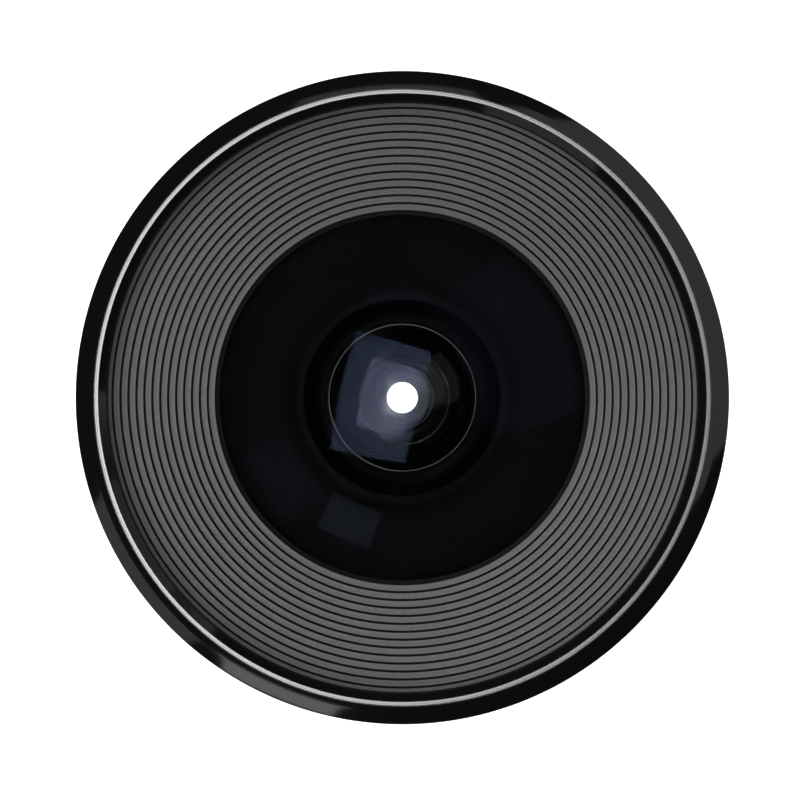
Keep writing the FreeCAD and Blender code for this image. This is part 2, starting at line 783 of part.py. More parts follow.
def guide_barrel():
    """Core of the lens: the rings turn on it and the focus carriage slides in it."""
    foot_bore = f"({guide_radius} - guide_foot_wall)"
    body = turned(
        "guide_barrel_blank",
        [
            (foot_bore, guide_bottom),
            (guide_radius, guide_bottom),
            (guide_radius, flange_bottom),
            (guide_flange_radius, flange_bottom),
            (guide_flange_radius, flange_top),
            (guide_bore, flange_top),
            (guide_bore, snap_top),
            (f"{guide_bore} + snap_ring_depth", snap_top),
            (f"{guide_bore} + snap_ring_depth", snap_bottom),
            (guide_bore, snap_bottom),
            (guide_bore, plate_bottom),
            (foot_bore, plate_bottom),
        ],
    )
    screw_holes(body, "front_screw", flange_top,
                "front_screw_length - front_web_height + edge_break")
    screw_holes(body, "cell_screw", flange_top,
                "cell_screw_length - cell_flange_height + edge_break")
    screw_holes(body, "core_screw", f"{guide_bottom} + {core_bite} + edge_break",
                f"{core_bite} + edge_break")
    inner = value(guide_bore) - REACH
    outer = value(guide_radius) + REACH
    half = value("roller_radius + slot_clearance")
    tools = []
    for angle, height in follower_places():
        low = height - value("ring_gap")
        high = height + value("focus_travel + ring_gap")
        tools.append(radial_rod(half, inner, outer, angle, low))
        tools.append(radial_rod(half, inner, outer, angle, high))
        window = Part.makeBox(outer - inner, half * 2, high - low)
        window.translate(FreeCAD.Vector(inner, -half, low))
        tools.append(axis_turn(window, angle))
    half = value("drive_pin_radius + slot_clearance")
    pin_height = value(drive_pin_height)
    start = value("drive_pin_angle")
    turn = value("iris_turn")
    tools.append(radial_rod(half, inner, outer, start, pin_height))
    tools.append(radial_rod(half, inner, outer, start + turn, pin_height))
    tools.append(sector(inner, outer, pin_height - half, pin_height + half, start, turn))
    tools += set_screw_holes(f"{guide_radius} - set_screw_seat", f"{guide_radius} + edge_break",
                             index_middle)
    return cut("guide_barrel", body, tools)


def follower_places():
    """Angle and height, with the carriage at its rest, of each cam follower."""
    top = value(f"{carriage_top} - follower_top")
    stagger = value("follower_stagger")
    count = int(value("follower_count"))
    return [(360 * number / count, top - stagger * number) for number in range(count)]


def index_ring():
    """Fixed ring between the two that turn: it carries the index marks."""
    bore = f"({guide_radius} + seat_clearance)"
    body = turned(
        "index_ring_blank",
        [
            (bore, index_bottom),
            (f"{index_rear_radius} - edge_break / 2", index_bottom),
            (index_rear_radius, f"{index_bottom} + edge_break / 2"),
            (index_front_radius, f"{index_top} - edge_break / 2"),
            (f"{index_front_radius} - edge_break / 2", index_top),
            (bore, index_top),
        ],
    )
    tools = set_screw_holes(f"{guide_radius} - edge_break", f"{index_front_radius} + edge_break",
                            index_middle)
    tools.append(stop_pin_shape("focus_stop", f"{index_top} - stop_pin_root", f"{index_top} + edge_break"))
    return cut("index_ring", body, tools)


def stop_pin_shape(stop, bottom, top):
    """The round bar of a stop pin, between two heights."""
    circle = value(CIRCLES[stop])
    angle = value(stop + "_angle")
    low = polar(circle, angle, value(bottom))
    high = polar(circle, angle, value(top))
    return rod(value("stop_pin_radius"), low, high)


def stop_groove(stop, bottom, start, sweep):
    """Arc groove in a ring's rear face, which takes a stop pin over the ring's whole turn."""
    half = value("stop_pin_radius + stop_groove_clearance")
    middle = value(CIRCLES[stop])
    top = value(f"{bottom} + stop_pin_height")
    low = value(bottom) - REACH
    turns = (start, start + sweep)
    ends = [rod(half, polar(middle, turn, low), polar(middle, turn, top)) for turn in turns]
    return ends + [sector(middle - half, middle + half, low, top, start, sweep)]


def front_ring():
    """Black front collar, chamfered, with a seat for the bezel and a web that bolts to the core."""
    skirt = f"({guide_flange_radius} + seat_clearance)"
    seat_in = f"({bezel_inner_radius} - seat_clearance)"
    seat_out = f"({bezel_outer_radius} + seat_clearance)"
    bore = f"({baffle_outer_radius} + seat_clearance)"
    body = turned(
        "front_ring",
        [
            (flare_radius, flange_bottom),
            (front_radius, collar_bottom),
            (front_radius, collar_top),
            (f"{front_radius} - {edge_reach} / {chamfer_stretch}",
             f"{front_corner} + {edge_reach} * {chamfer_slope} / {chamfer_stretch}",
             "front_edge_round", 1),
            (front_chamfer_radius, chamfer_top),
            (seat_out, band_top),
            (seat_out, bezel_bottom),
            (seat_in, bezel_bottom),
            (seat_in, slope_top),
            (bore, slope_bottom),
            (bore, web_top),
            (f"{cell_flange_radius} + seat_clearance", web_top),
            (f"{cell_flange_radius} + seat_clearance", flange_top),
            (skirt, flange_top),
            (skirt, flange_bottom),
        ],
    )
    screw_holes(body, "front_screw", web_top, "front_web_height")
    return body


def front_bezel():
    """Satin metal ring let into the front face."""
    outer_edge = f"({bezel_top} - bezel_slope_drop)"
    return turned(
        "front_bezel",
        [
            (bezel_inner_radius, bezel_bottom),
            (bezel_outer_radius, bezel_bottom),
            (bezel_outer_radius, f"{outer_edge} - bezel_edge"),
            (f"{bezel_outer_radius} - bezel_edge", outer_edge),
            (f"{bezel_inner_radius} + bezel_edge", bezel_top),
            (bezel_inner_radius, f"{bezel_top} - bezel_edge"),
        ],
    )


def stepped_baffle():
    """Light trap between the front ring and the first element: flat treads with a groove at each."""
    outline = [
        (baffle_inner_radius, baffle_bottom),
        (baffle_inner_radius, first_tread),
    ]
    for step in range(int(value("baffle_groove_count"))):
        centre = f"({first_groove} + {step} * {groove_pitch})"
        tread = f"({first_tread} + {step} * baffle_step)"
        near = f"{centre} - baffle_groove_width / 2"
        far = f"{centre} + baffle_groove_width / 2"
        outline += [
            (near, tread),
            (near, f"{tread} - baffle_groove_depth"),
            (far, f"{tread} - baffle_groove_depth"),
            (far, f"{tread} + baffle_step"),
        ]
    skirt = f"({baffle_outer_radius} - baffle_wall)"
    outline += [
        (baffle_outer_radius, last_tread),
        (baffle_outer_radius, web_top),
        (skirt, web_top),
        (skirt, f"{last_tread} - baffle_groove_depth - baffle_roof"),
        (f"{front_retainer_radius} + baffle_wall", baffle_bottom),
    ]
    return turned("stepped_baffle", outline)


def front_cell():
    """Housing of the two front elements, bolted to the top of the guide barrel."""
    bore = "(element_two_radius + thread_clearance)"
    retainer_bore = f"({element_two_retainer_radius} + thread_clearance)"
    outer = f"({guide_bore} - seat_clearance)"
    tube = f"({retainer_bore} + cell_tube_wall)"
    inner = "(element_one_radius + thread_clearance)"
    thread = f"({front_retainer_radius} + thread_clearance)"
    web_bottom = f"({one_flat} - cell_web_height)"
    tube_bottom = f"({two_flat} - cell_shoulder_height)"
    skirt_bottom = f"({flange_top} - cell_skirt_length)"
    rim = f"({one_rim} + thread_clearance)"
    body = turned(
        "front_cell",
        [
            ("element_two_radius - cell_shoulder", tube_bottom),
            ("element_two_radius - cell_shoulder", two_flat),
            (bore, two_flat),
            (bore, two_rim),
            (retainer_bore, two_rim),
            (retainer_bore, one_flat),
            (inner, one_flat),
            (inner, rim),
            (thread, rim),
            (thread, retainer_top),
            (outer, retainer_top),
            (outer, f"{flange_top} + cell_flange_height"),
            (cell_flange_radius, f"{flange_top} + cell_flange_height"),
            (cell_flange_radius, flange_top),
            (outer, flange_top),
            (outer, skirt_bottom),
            (f"{outer} - cell_outer_wall", skirt_bottom),
            (f"{outer} - cell_outer_wall", web_bottom),
            (tube, web_bottom),
            (tube, tube_bottom),
        ],
    )
    screw_holes(body, "cell_screw", f"{flange_top} + cell_flange_height", "cell_flange_height")
    return body


def element(name, vertex, front, rear, thickness, radius, rear_radius=None, shared=False):
    """A glass element with spherical faces.

    front and rear are (curve, side): side 1 bulges to the subject, -1 to the camera.
    """
    front_rim = f"({vertex} - {front[1]} * {sag(front[0], radius)})"
    rear_vertex = f"({vertex} - {thickness})"
    edge = rear_radius or radius
    rear_rim = f"({rear_vertex} - {rear[1]} * {sag(rear[0], edge)})"
    outline = [
        ("0", rear_vertex, rear[0], rear[1]),
        ("0", vertex),
        (radius, front_rim, front[0], -1 * front[1]),
        (radius, rear_rim),
    ]
    if rear_radius:
        outline.append((rear_radius, rear_rim))
    return turned(name, outline)


def ring(name, inner, outer, bottom, top):
    """A plain ring."""
    return turned(name, [(inner, bottom), (outer, bottom), (outer, top), (inner, top)])


def front_group():
    """Both front elements and the threaded rings that hold them."""
    one = element("element_1", one_vertex, ("element_one_front_curve", 1),
                  ("element_one_rear_curve", 1), "element_one_thickness", "element_one_radius",
                  "element_one_rear_radius")
    two = element("element_2", two_vertex, ("element_two_front_curve", 1),
                  ("element_two_rear_curve", 1), "element_two_thickness", "element_two_radius",
                  "element_two_rear_radius")
    seat = f"({two_vertex} - " + sag("element_two_front_curve", element_two_opening) + ")"
    small = ring("element_2_retainer", element_two_opening, element_two_retainer_radius, seat,
                 f"{seat} + element_two_retainer_height")
    inside = "(element_one_radius + front_retainer_clearance)"
    large = turned(
        "front_retainer",
        [
            (front_retainer_opening, retainer_seat),
            (inside, retainer_seat),
            (inside, f"{one_rim} + thread_clearance"),
            (front_retainer_radius, f"{one_rim} + thread_clearance"),
            (front_retainer_radius, retainer_top),
            (front_retainer_opening, retainer_top),
        ],
    )
    return [one, two, small, large]


def focus_carriage():
    """Sliding frame of the focusing group, with its keyed sleeve and the tube for the glass."""
    outer = f"({guide_bore} - running_clearance)"
    inner = f"({outer} - carriage_wall)"
    web_low = f"({carriage_bottom} + carriage_web_rise)"
    web_high = f"({web_low} + carriage_web_height)"
    seat_five = f"({five_rear} + " + sag("element_five_rear_curve", group_opening) + ")"
    seat_three = f"({three_rear} + " + sag("element_three_rear_curve", doublet_radius) + ")"
    tube_bottom = f"({seat_five} - carriage_tube_foot)"
    tube_top = f"({three_vertex} + edge_break)"
    small = f"({doublet_radius} + thread_clearance)"
    large = "(element_three_radius + thread_clearance)"
    body = turned(
        "focus_carriage_blank",
        [
            (group_opening, tube_bottom),
            (carriage_tube_radius, tube_bottom),
            (carriage_tube_radius, web_low),
            (inner, web_low),
            (inner, carriage_bottom),
            (outer, carriage_bottom),
            (outer, carriage_top),
            (inner, carriage_top),
            (inner, web_high),
            (carriage_tube_radius, web_high),
            (carriage_tube_radius, tube_top),
            (large, tube_top),
            (large, seat_three),
            (small, seat_three),
            (small, seat_five),
            (group_opening, seat_five),
        ],
    )
    hole = value("follower_shank_radius + slot_clearance")
    tools = [
        radial_rod(hole, value(inner) - REACH, value(outer) + REACH, angle, height)
        for angle, height in follower_places()
    ]
    return cut("focus_carriage", body, tools)


def focus_group():
    """Glass of the carriage, with the spacer and the ring that hold it."""
    three = element("element_3", three_vertex, ("element_three_front_curve", 1),
                    ("element_three_rear_curve", -1), "element_three_thickness",
                    "element_three_radius")
    four = element("element_4", four_vertex, ("element_four_front_curve", -1),
                   ("element_four_rear_curve", 1), "element_four_thickness", doublet_radius)
    five = element("element_5", five_vertex, ("element_four_rear_curve", 1),
                   ("element_five_rear_curve", -1), "element_five_thickness", doublet_radius)
    four_rim = f"({four_vertex} + " + sag("element_four_front_curve", doublet_radius) + ")"
    spacer_top = f"({three_rear} + " + sag("element_three_rear_curve", group_opening) + ")"
    spacer = ring("group_spacer", group_opening, doublet_radius, four_rim, spacer_top)
    seat = f"({three_vertex} - " + sag("element_three_front_curve", doublet_radius) + ")"
    retainer = ring("carriage_retainer", doublet_radius, "element_three_radius", seat,
                    f"{seat} + carriage_retainer_height")
    return [three, four, five, spacer, retainer]


def followers():
    """Three rollers on shouldered screws that run in the cam sleeve's grooves."""
    outer = value(f"{guide_bore} - running_clearance")
    start = outer + value("thread_clearance")
    end = start + value("roller_length")
    shank = value("follower_shank_radius")
    head = end + value("follower_head_height") + value("thread_clearance")
    rollers = []
    screws = []
    for angle, height in follower_places():
        tube = radial_rod(value("roller_radius"), start, end, angle, height)
        bore = radial_rod(value("roller_bore"), start - REACH, end + REACH, angle, height)
        rollers.append(tube.cut(bore))
        shaft = radial_rod(shank, outer - value("carriage_wall"), head, angle, height)
        cap = radial_rod(value("follower_head_radius"), end + value("thread_clearance"), head, angle,
                         height)
        screws.append(shaft.fuse(cap).removeSplitter())
    return [
        solid_feature("cam_rollers", Part.makeCompound(rollers)),
        solid_feature("follower_screws", Part.makeCompound(screws)),
    ]


def cam_groove(angle, height):
    """Solid that cuts one helical groove, and its two round ends, from the sleeve's bore."""
    half = value("roller_radius + slot_clearance")
    inner = value(ring_bore) - REACH
    outer = value(f"{ring_bore} + cam_depth")
    turn = value("focus_turn")
    travel = value("focus_travel")
    helix = Part.makeHelix(travel * 360 / turn, travel, outer)
    corners = [
        FreeCAD.Vector(inner, 0, -half),
        FreeCAD.Vector(outer, 0, -half),
        FreeCAD.Vector(outer, 0, half),
        FreeCAD.Vector(inner, 0, half),
        FreeCAD.Vector(inner, 0, -half),
    ]
    groove = Part.Wire(helix).makePipeShell([Part.makePolygon(corners)], True, True)
    if groove.Volume < 0:
        groove.reverse()
    groove.translate(FreeCAD.Vector(0, 0, height))
    section = (outer - inner) * half * 2
    length = math.hypot(math.radians(turn) * (outer + inner) / 2, travel)
    print("cam groove volume", round(groove.Volume, 1), "expected", round(section * length, 1))
    ends = [
        radial_rod(half, inner, outer, 0, height),
        radial_rod(half, inner, outer, turn, height + travel),
    ]
    return [axis_turn(shape, angle) for shape in [groove] + ends]


def focus_cam_sleeve():
    """Sleeve inside the focus ring: its three grooves move the carriage as the ring turns."""
    bottom = f"({focus_bottom} + sleeve_rise)"
    body = ring("focus_cam_sleeve_blank", ring_bore, sleeve_radius, bottom, sleeve_top)
    tools = set_screw_holes(f"{sleeve_radius} - set_screw_seat", f"{sleeve_radius} + edge_break",
                            focus_screw_height)
    for angle, height in follower_places():
        tools += cam_groove(angle, height)
    return cut("focus_cam_sleeve", body, tools)


def focus_ring():
    """Focus ring with a sloped scale band and a follow-focus gear."""
    bore = f"({sleeve_radius} + seat_clearance)"
    scale_top = f"({focus_bottom} + focus_scale_height)"
    gear_bottom = f"({scale_top} + focus_relief_height)"
    gear_top = f"({gear_bottom} + focus_gear_height)"
    band_bottom = f"({gear_top} + focus_relief_height)"
    core = turned(
        "focus_ring_blank",
        [
            (bore, focus_bottom),
            (f"{focus_rear_radius} - edge_break", focus_bottom),
            (focus_rear_radius, f"{focus_bottom} + edge_break"),
            (focus_scale_radius, f"{scale_top} - edge_break"),
            (f"{focus_scale_radius} - edge_break", scale_top),
            (focus_relief_radius, scale_top),
            (focus_relief_radius, band_bottom),
            (f"{focus_scale_radius} - edge_break", band_bottom),
            (focus_scale_radius, f"{band_bottom} + edge_break"),
            (focus_scale_radius, f"{focus_top} - edge_break"),
            (f"{focus_scale_radius} - edge_break", focus_top),
            (ring_bore, focus_top),
            (ring_bore, sleeve_top),
            (bore, sleeve_top),
        ],
    )
    teeth = toothed_ring("focus_gear_rim", f"{focus_scale_radius} + focus_gear_stand",
                         f"{focus_relief_radius} - edge_break", gear_bottom, "focus_gear_height")
    whole = document.addObject("Part::Fuse", "focus_ring_toothed")
    whole.Base = core
    whole.Tool = teeth
    tools = stop_groove("focus_stop", focus_bottom, value("focus_stop_angle"), value("focus_turn"))
    tools += set_screw_holes(f"{sleeve_radius} - edge_break", f"{focus_scale_radius} + edge_break",
                             focus_screw_height)
    return cut("focus_ring", whole, tools)


def iris_ring():
    """Iris ring with its gear and scale band."""
    gear_bottom = f"({iris_ring_bottom} + iris_gear_rise)"
    gear_top = f"({gear_bottom} + iris_gear_height)"
    band_bottom = f"({gear_top} + iris_gear_rise)"
    core = turned(
        "iris_ring_blank",
        [
            (ring_bore, iris_ring_bottom),
            (f"{iris_relief_radius} - edge_break", iris_ring_bottom),
            (iris_relief_radius, f"{iris_ring_bottom} + edge_break"),
            (iris_relief_radius, band_bottom),
            (iris_ring_radius, f"{band_bottom} + {iris_ring_radius} - {iris_relief_radius}"),
            (iris_ring_radius, f"{iris_ring_top} - edge_break"),
            (f"{iris_ring_radius} - edge_break", iris_ring_top),
            (ring_bore, iris_ring_top),
        ],
    )
    teeth = toothed_ring("iris_gear_rim", f"{iris_ring_radius} + iris_gear_stand",
                         f"{iris_relief_radius} - edge_break", gear_bottom, "iris_gear_height")
    whole = document.addObject("Part::Fuse", "iris_ring_toothed")
    whole.Base = core
    whole.Tool = teeth
    turn = value("iris_turn")
    tools = stop_groove("iris_stop", iris_ring_bottom, value("iris_stop_angle") - turn, turn)
    tools.append(
        radial_rod(value("drive_pin_radius"), value(guide_radius), value(iris_ring_radius) + REACH,
                   value("drive_pin_angle"), value(drive_pin_height))
    )
    return cut("iris_ring", whole, tools)


def iris_base_plate():
    """Plate with the fixed full aperture, on which the blades lie and turn."""
    outer = f"({guide_bore} - seat_clearance)"
    body = turned(
        "iris_base_plate",
        [
            ("stop_radius", plate_bottom),
            (outer, plate_bottom),
            (outer, rim_top),
            (f"{outer} - iris_plate_rim", rim_top),
            (f"{outer} - iris_plate_rim", plate_top),
            ("stop_radius + edge_break", plate_top),
            ("stop_radius", f"{plate_top} - edge_break"),
        ],
    )
    drill(body, "pivot", blade_pivot_radius, "blade_pin_radius + slot_clearance", plate_top,
          "iris_plate_thickness", "blade_count", "0")
    return body


def blade_turn():
    """Angle through which a blade swings from open to closed."""
    reach = value(f"{blade_inner_radius} - blade_closed_radius")
    return 2 * math.degrees(math.asin(reach / (2 * value(blade_pivot_radius))))


def blade_shape():
    """The flat crescent of one blade in its open place, on the X axis, with its two tabs."""
    pivot_radius = value(blade_pivot_radius)
    inner = value(blade_inner_radius)
    outer = value(blade_outer_radius)
    sweep = value("blade_sweep")
    drive = value("blade_drive_angle")
    tab = value("blade_tab_radius")
    thickness = value("blade_thickness")
    rise = UP * thickness
    shape = sector(inner, outer, 0, thickness, 0, sweep)
    for turn in (0, sweep):
        spot = polar((inner + outer) / 2, turn, 0)
        shape = shape.fuse(rod((outer - inner) / 2, spot, spot + rise))
    shape = shape.fuse(sector(outer - tab, pivot_radius, 0, thickness, 0, drive))
    for turn in (0, drive):
        spot = polar(pivot_radius, turn, 0)
        root = polar(outer - tab, turn, 0)
        arm = Part.makeBox(pivot_radius - outer + tab, tab * 2, thickness)
        arm.translate(FreeCAD.Vector(outer - tab, -tab, 0))
        shape = shape.fuse([rod(tab, spot, spot + rise), axis_turn(arm, turn), rod(tab, root, root + rise)])
    return shape.removeSplitter()


def iris_blades():
    """The blades, each on its own level, fanned evenly about the aperture."""
    flat = blade_shape()
    circle = value(blade_pivot_radius)
    pin = value("blade_pin_radius")
    drive = value("blade_drive_angle")
    count = int(value("blade_count"))
    plate = value(plate_bottom)
    ring_face = value(drive_face)
    lowest = value(f"{plate_top} + drive_gap / 2")
    blades = []
    for number in range(count):
        level = lowest + value("blade_pitch") * number
        blade = flat.copy()
        blade.translate(FreeCAD.Vector(0, 0, level))
        half = level + value("blade_thickness") / 2
        pivot = rod(pin, polar(circle, 0, plate), polar(circle, 0, half))
        follower = rod(pin, polar(circle, drive, half), polar(circle, drive, ring_face))
        whole = axis_turn(blade.fuse([pivot, follower]), 360 * number / count)
        blades.append(solid_feature(f"iris_blade_{number + 1}", whole))
    return blades


def drive_pin_place(share):
    """Where a blade's drive pin lies in the drive ring, at a share of the ring's turn."""
    pivot = polar(value(blade_pivot_radius), 0, 0)
    pin = polar(value(blade_pivot_radius), value("blade_drive_angle"), 0)
    swing = FreeCAD.Rotation(UP, blade_turn() * share)
    back = FreeCAD.Rotation(UP, -value("iris_turn") * share)
    return back.multVec(pivot + swing.multVec(pin - pivot))


def drive_slot():
    """Curved slot in the drive ring, along the path of one blade's pin."""
    start = drive_pin_place(0)
    middle = drive_pin_place(0.5)
    end = drive_pin_place(1)
    path = Part.Arc(start, middle, end).toShape().Curve
    half = value("blade_pin_radius + drive_slot_clearance")
    circle = Part.Circle(path.Center, UP, path.Radius)
    worst = max(
        abs((drive_pin_place(share) - path.Center).Length - path.Radius) for share in (0.25, 0.75)
    )
    print("drive slot path departs from its arc by", round(worst, 4))
    angles = [math.degrees(circle.parameter(spot)) for spot in (start, end)]
    sweep = (angles[1] - angles[0]) % 360
    first = angles[0]
    if sweep > 180:
        first = angles[1]
        sweep = 360 - sweep
    height = value("drive_ring_thickness") + REACH * 2
    low = UP * (value(drive_bottom) - REACH)
    centre = path.Center + low
    whole = Part.makeCylinder(path.Radius + half, height, centre, UP, sweep)
    bore = Part.makeCylinder(path.Radius - half, height, centre, UP, sweep)
    slot = whole.cut(bore)
    slot.rotate(centre, UP, first)
    return slot.fuse([Part.makeCylinder(half, height, spot + low, UP) for spot in (start, end)])


def iris_drive_ring():
    """Ring over the blades: its curved slots swing them all together."""
    body = turned(
        "iris_drive_ring_blank",
        [
            (blade_outer_radius, drive_bottom),
            (drive_radius, drive_bottom),
            (drive_radius, drive_top),
            (drive_rim_bore, drive_top),
            (drive_rim_bore, drive_face),
            (blade_outer_radius, drive_face),
        ],
    )
    tools = around(drive_slot(), "blade_count")
    tools.append(
        radial_rod(value("drive_pin_radius"), value(drive_rim_bore) - REACH, value(guide_bore),
                   value("drive_pin_angle"), value(drive_pin_height))
    )
    return cut("iris_drive_ring", body, tools)


def iris_drive_pin():
    """Pin that joins the iris ring to the drive ring through the barrel's slot."""
    pin = set_screw(
        value("drive_pin_radius"),
        value(drive_rim_bore),
        value(iris_ring_radius),
        value(drive_pin_height),
    )
    return solid_feature("iris_drive_pin", axis_turn(pin, value("drive_pin_angle")))


def iris_snap_ring():
    """Open spring ring in the barrel's groove, which keeps the drive ring down."""
    outer = value(f"{guide_bore} + snap_ring_depth - seat_clearance")
    inner = outer - value("snap_ring_width")
    bottom = value(f"{snap_bottom} + seat_clearance")
    top = value(f"{snap_top} - seat_clearance")
    gap = value("snap_ring_gap")
    return solid_feature("iris_snap_ring", sector(inner, outer, bottom, top, gap / 2, 360 - gap))


def rear_cell():
    """Housing of the rear elements, bolted to the floor of the rear barrel."""
    doublet_bore = f"({rear_doublet_radius} + thread_clearance)"
    six_seat = f"({six_rear} + " + sag("element_six_rear_curve", rear_lip_opening) + ")"
    six_rim = f"({six_vertex} - " + sag("element_six_front_curve", "element_six_radius") + ")"
    seven_rim = f"({seven_vertex} + " + sag("element_seven_front_curve", rear_doublet_radius) + ")"
    nine_rim = f"({nine_vertex} - " + sag("element_nine_front_curve", doublet_bore) + ")"
    nine_flat = f"({nine_rear} + " + sag("element_nine_rear_curve", element_nine_radius) + ")"
    six_bore = "(element_six_radius + thread_clearance)"
    retainer_bore = f"({rear_lip_opening} + element_six_retainer_width + thread_clearance)"
    nine_bore = f"({element_nine_radius} + thread_clearance)"
    thread = f"({rear_retainer_radius} + thread_clearance)"
    tube_bottom = f"({guide_bottom} - rear_tube_depth)"
    flange_high = f"({guide_bottom} + rear_flange_height)"
    body = turned(
        "rear_cell",
        [
            (thread, tube_bottom),
            (rear_tube_radius, tube_bottom),
            (rear_tube_radius, guide_bottom),
            (rear_flange_radius, guide_bottom),
            (rear_flange_radius, flange_high),
            (rear_tube_radius, flange_high),
            (rear_tube_radius, rear_tube_top),
            (retainer_bore, rear_tube_top),
            (retainer_bore, six_rim),
            (six_bore, six_rim),
            (six_bore, six_seat),
            (rear_lip_opening, six_seat),
            (rear_lip_opening, seven_rim),
            (doublet_bore, seven_rim),
            (doublet_bore, nine_rim),
            (nine_bore, nine_rim),
            (nine_bore, nine_flat),
            (thread, nine_flat),
        ],
    )
    screw_holes(body, "rear_screw", flange_high, "rear_flange_height")
    return body


def rear_group():
    """Rear elements with the rings that hold them."""
    six = element("element_6", six_vertex, ("element_six_front_curve", 1),
                  ("element_six_rear_curve", -1), "element_six_thickness", "element_six_radius")
    seven = element("element_7", seven_vertex, ("element_seven_front_curve", -1),
                    ("element_seven_rear_curve", 1), "element_seven_thickness",
                    rear_doublet_radius)
    eight = element("element_8", eight_vertex, ("element_seven_rear_curve", 1),
                    ("element_eight_rear_curve", -1), "element_eight_thickness",
                    rear_doublet_radius)
    nine = element("element_9", nine_vertex, ("element_nine_front_curve", 1),
                   ("element_nine_rear_curve", -1), "element_nine_thickness",
                   element_nine_radius)
    six_seat = f"({six_vertex} - " + sag("element_six_front_curve", rear_lip_opening) + ")"
    six_ring = ring("element_6_retainer", rear_lip_opening,
                    f"{rear_lip_opening} + element_six_retainer_width", six_seat, rear_tube_top)
    low = f"({nine_vertex} - " + sag("element_nine_front_curve", rear_spacer_opening) + ")"
    high = f"({eight_rear} + " + sag("element_eight_rear_curve", rear_spacer_opening) + ")"
    spacer = ring("rear_spacer", rear_spacer_opening, rear_doublet_radius, low, high)
    top = f"({nine_rear} + " + sag("element_nine_rear_curve", rear_retainer_opening) + ")"
    back = ring("rear_retainer", rear_retainer_opening, rear_retainer_radius,
                f"{top} - rear_retainer_height", top)
    return [six, seven, eight, nine, six_ring, spacer, back]


def set_screws(name, bore, outer, height):
    """Slotted set screws that lock a ring to the piece inside it."""
    single = set_screw(
        value("set_screw_radius - thread_clearance"),
        value(f"{bore} - set_screw_seat"),
        value(outer) - value("edge_break"),
        value(height),
    )
    copies = around(single, "set_screw_count", "set_screw_start")
    return solid_feature(name, Part.makeCompound(copies))


parts = [
    camera_mount(),
    screw_group("mount_screws", "mount_screw",
                f"{base_bottom} + mount_screw_radius * head_height_ratio", False),
    mount_shim(),
    rear_shroud(),
    rear_barrel(),
    screw_group("core_screws", "core_screw", f"{shim_top} + core_screw_radius * head_height_ratio",
                False),
    guide_barrel(),
    index_ring(),
    set_screws("index_ring_screws", guide_radius,
               f"({index_rear_radius} + {index_front_radius}) / 2", index_middle),
    solid_feature("focus_stop_pin", stop_pin_shape("focus_stop", f"{index_top} - stop_pin_root",
                                                   f"{index_top} + stop_pin_height")),
    solid_feature("iris_stop_pin", stop_pin_shape("iris_stop", guide_bottom,
                                                  f"{rear_barrel_top} + stop_pin_height")),
    front_ring(),
    screw_group("front_ring_screws", "front_screw", web_top, True),
    front_bezel(),
    stepped_baffle(),
    front_cell(),
    screw_group("front_cell_screws", "cell_screw", f"{flange_top} + cell_flange_height", True),
    focus_carriage(),
    focus_cam_sleeve(),
    focus_ring(),
    set_screws("focus_ring_screws", sleeve_radius, focus_scale_radius, focus_screw_height),
    iris_ring(),
    iris_base_plate(),
    iris_drive_ring(),
    iris_drive_pin(),
    iris_snap_ring(),
    rear_cell(),
    screw_group("rear_cell_screws", "rear_screw", f"{guide_bottom} + rear_flange_height", True),
]
parts += front_group() + focus_group() + followers() + rear_group() + iris_blades()
document.recompute()

print("blade turn", round(blade_turn(), 3), "for a ring turn of", value("iris_turn"))
print("front face", round(value(bezel_top), 3))

failed = [item.Name for item in document.Objects if {"Invalid", "Error"} & set(item.State)]
if failed:
    raise RuntimeError("these objects failed: " + ", ".join(failed))
for part in parts:
    if part.Shape.isNull() or not part.Shape.isValid():
        raise RuntimeError("this shape is not valid: " + part.Label)

os.makedirs("parts", exist_ok=True)
for part in parts:
    part.Shape.exportStep("parts/" + part.Label + ".step")
print(len(parts), "sub-parts written")
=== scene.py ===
# %% [markdown]
# # A cine lens, looked at square on from the front
#
# The object is a wide-angle lens for film cameras. From the front it is a set of rings: a glossy
# black collar, a thin satin metal bezel, a light trap of flat matte treads with a dark groove at
# each, and a domed glass in the middle. The CAD model is the frame of everything here, so each
# ring keeps the size that it has there, and this script gives it its finish, its light and what
# the CAD model leaves out: fine optical surfaces, paint on the glass and the figures of the scales.
#
# Sizes are written in millimetres and turned into Blender's metres by one factor.

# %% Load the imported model
import json
import math

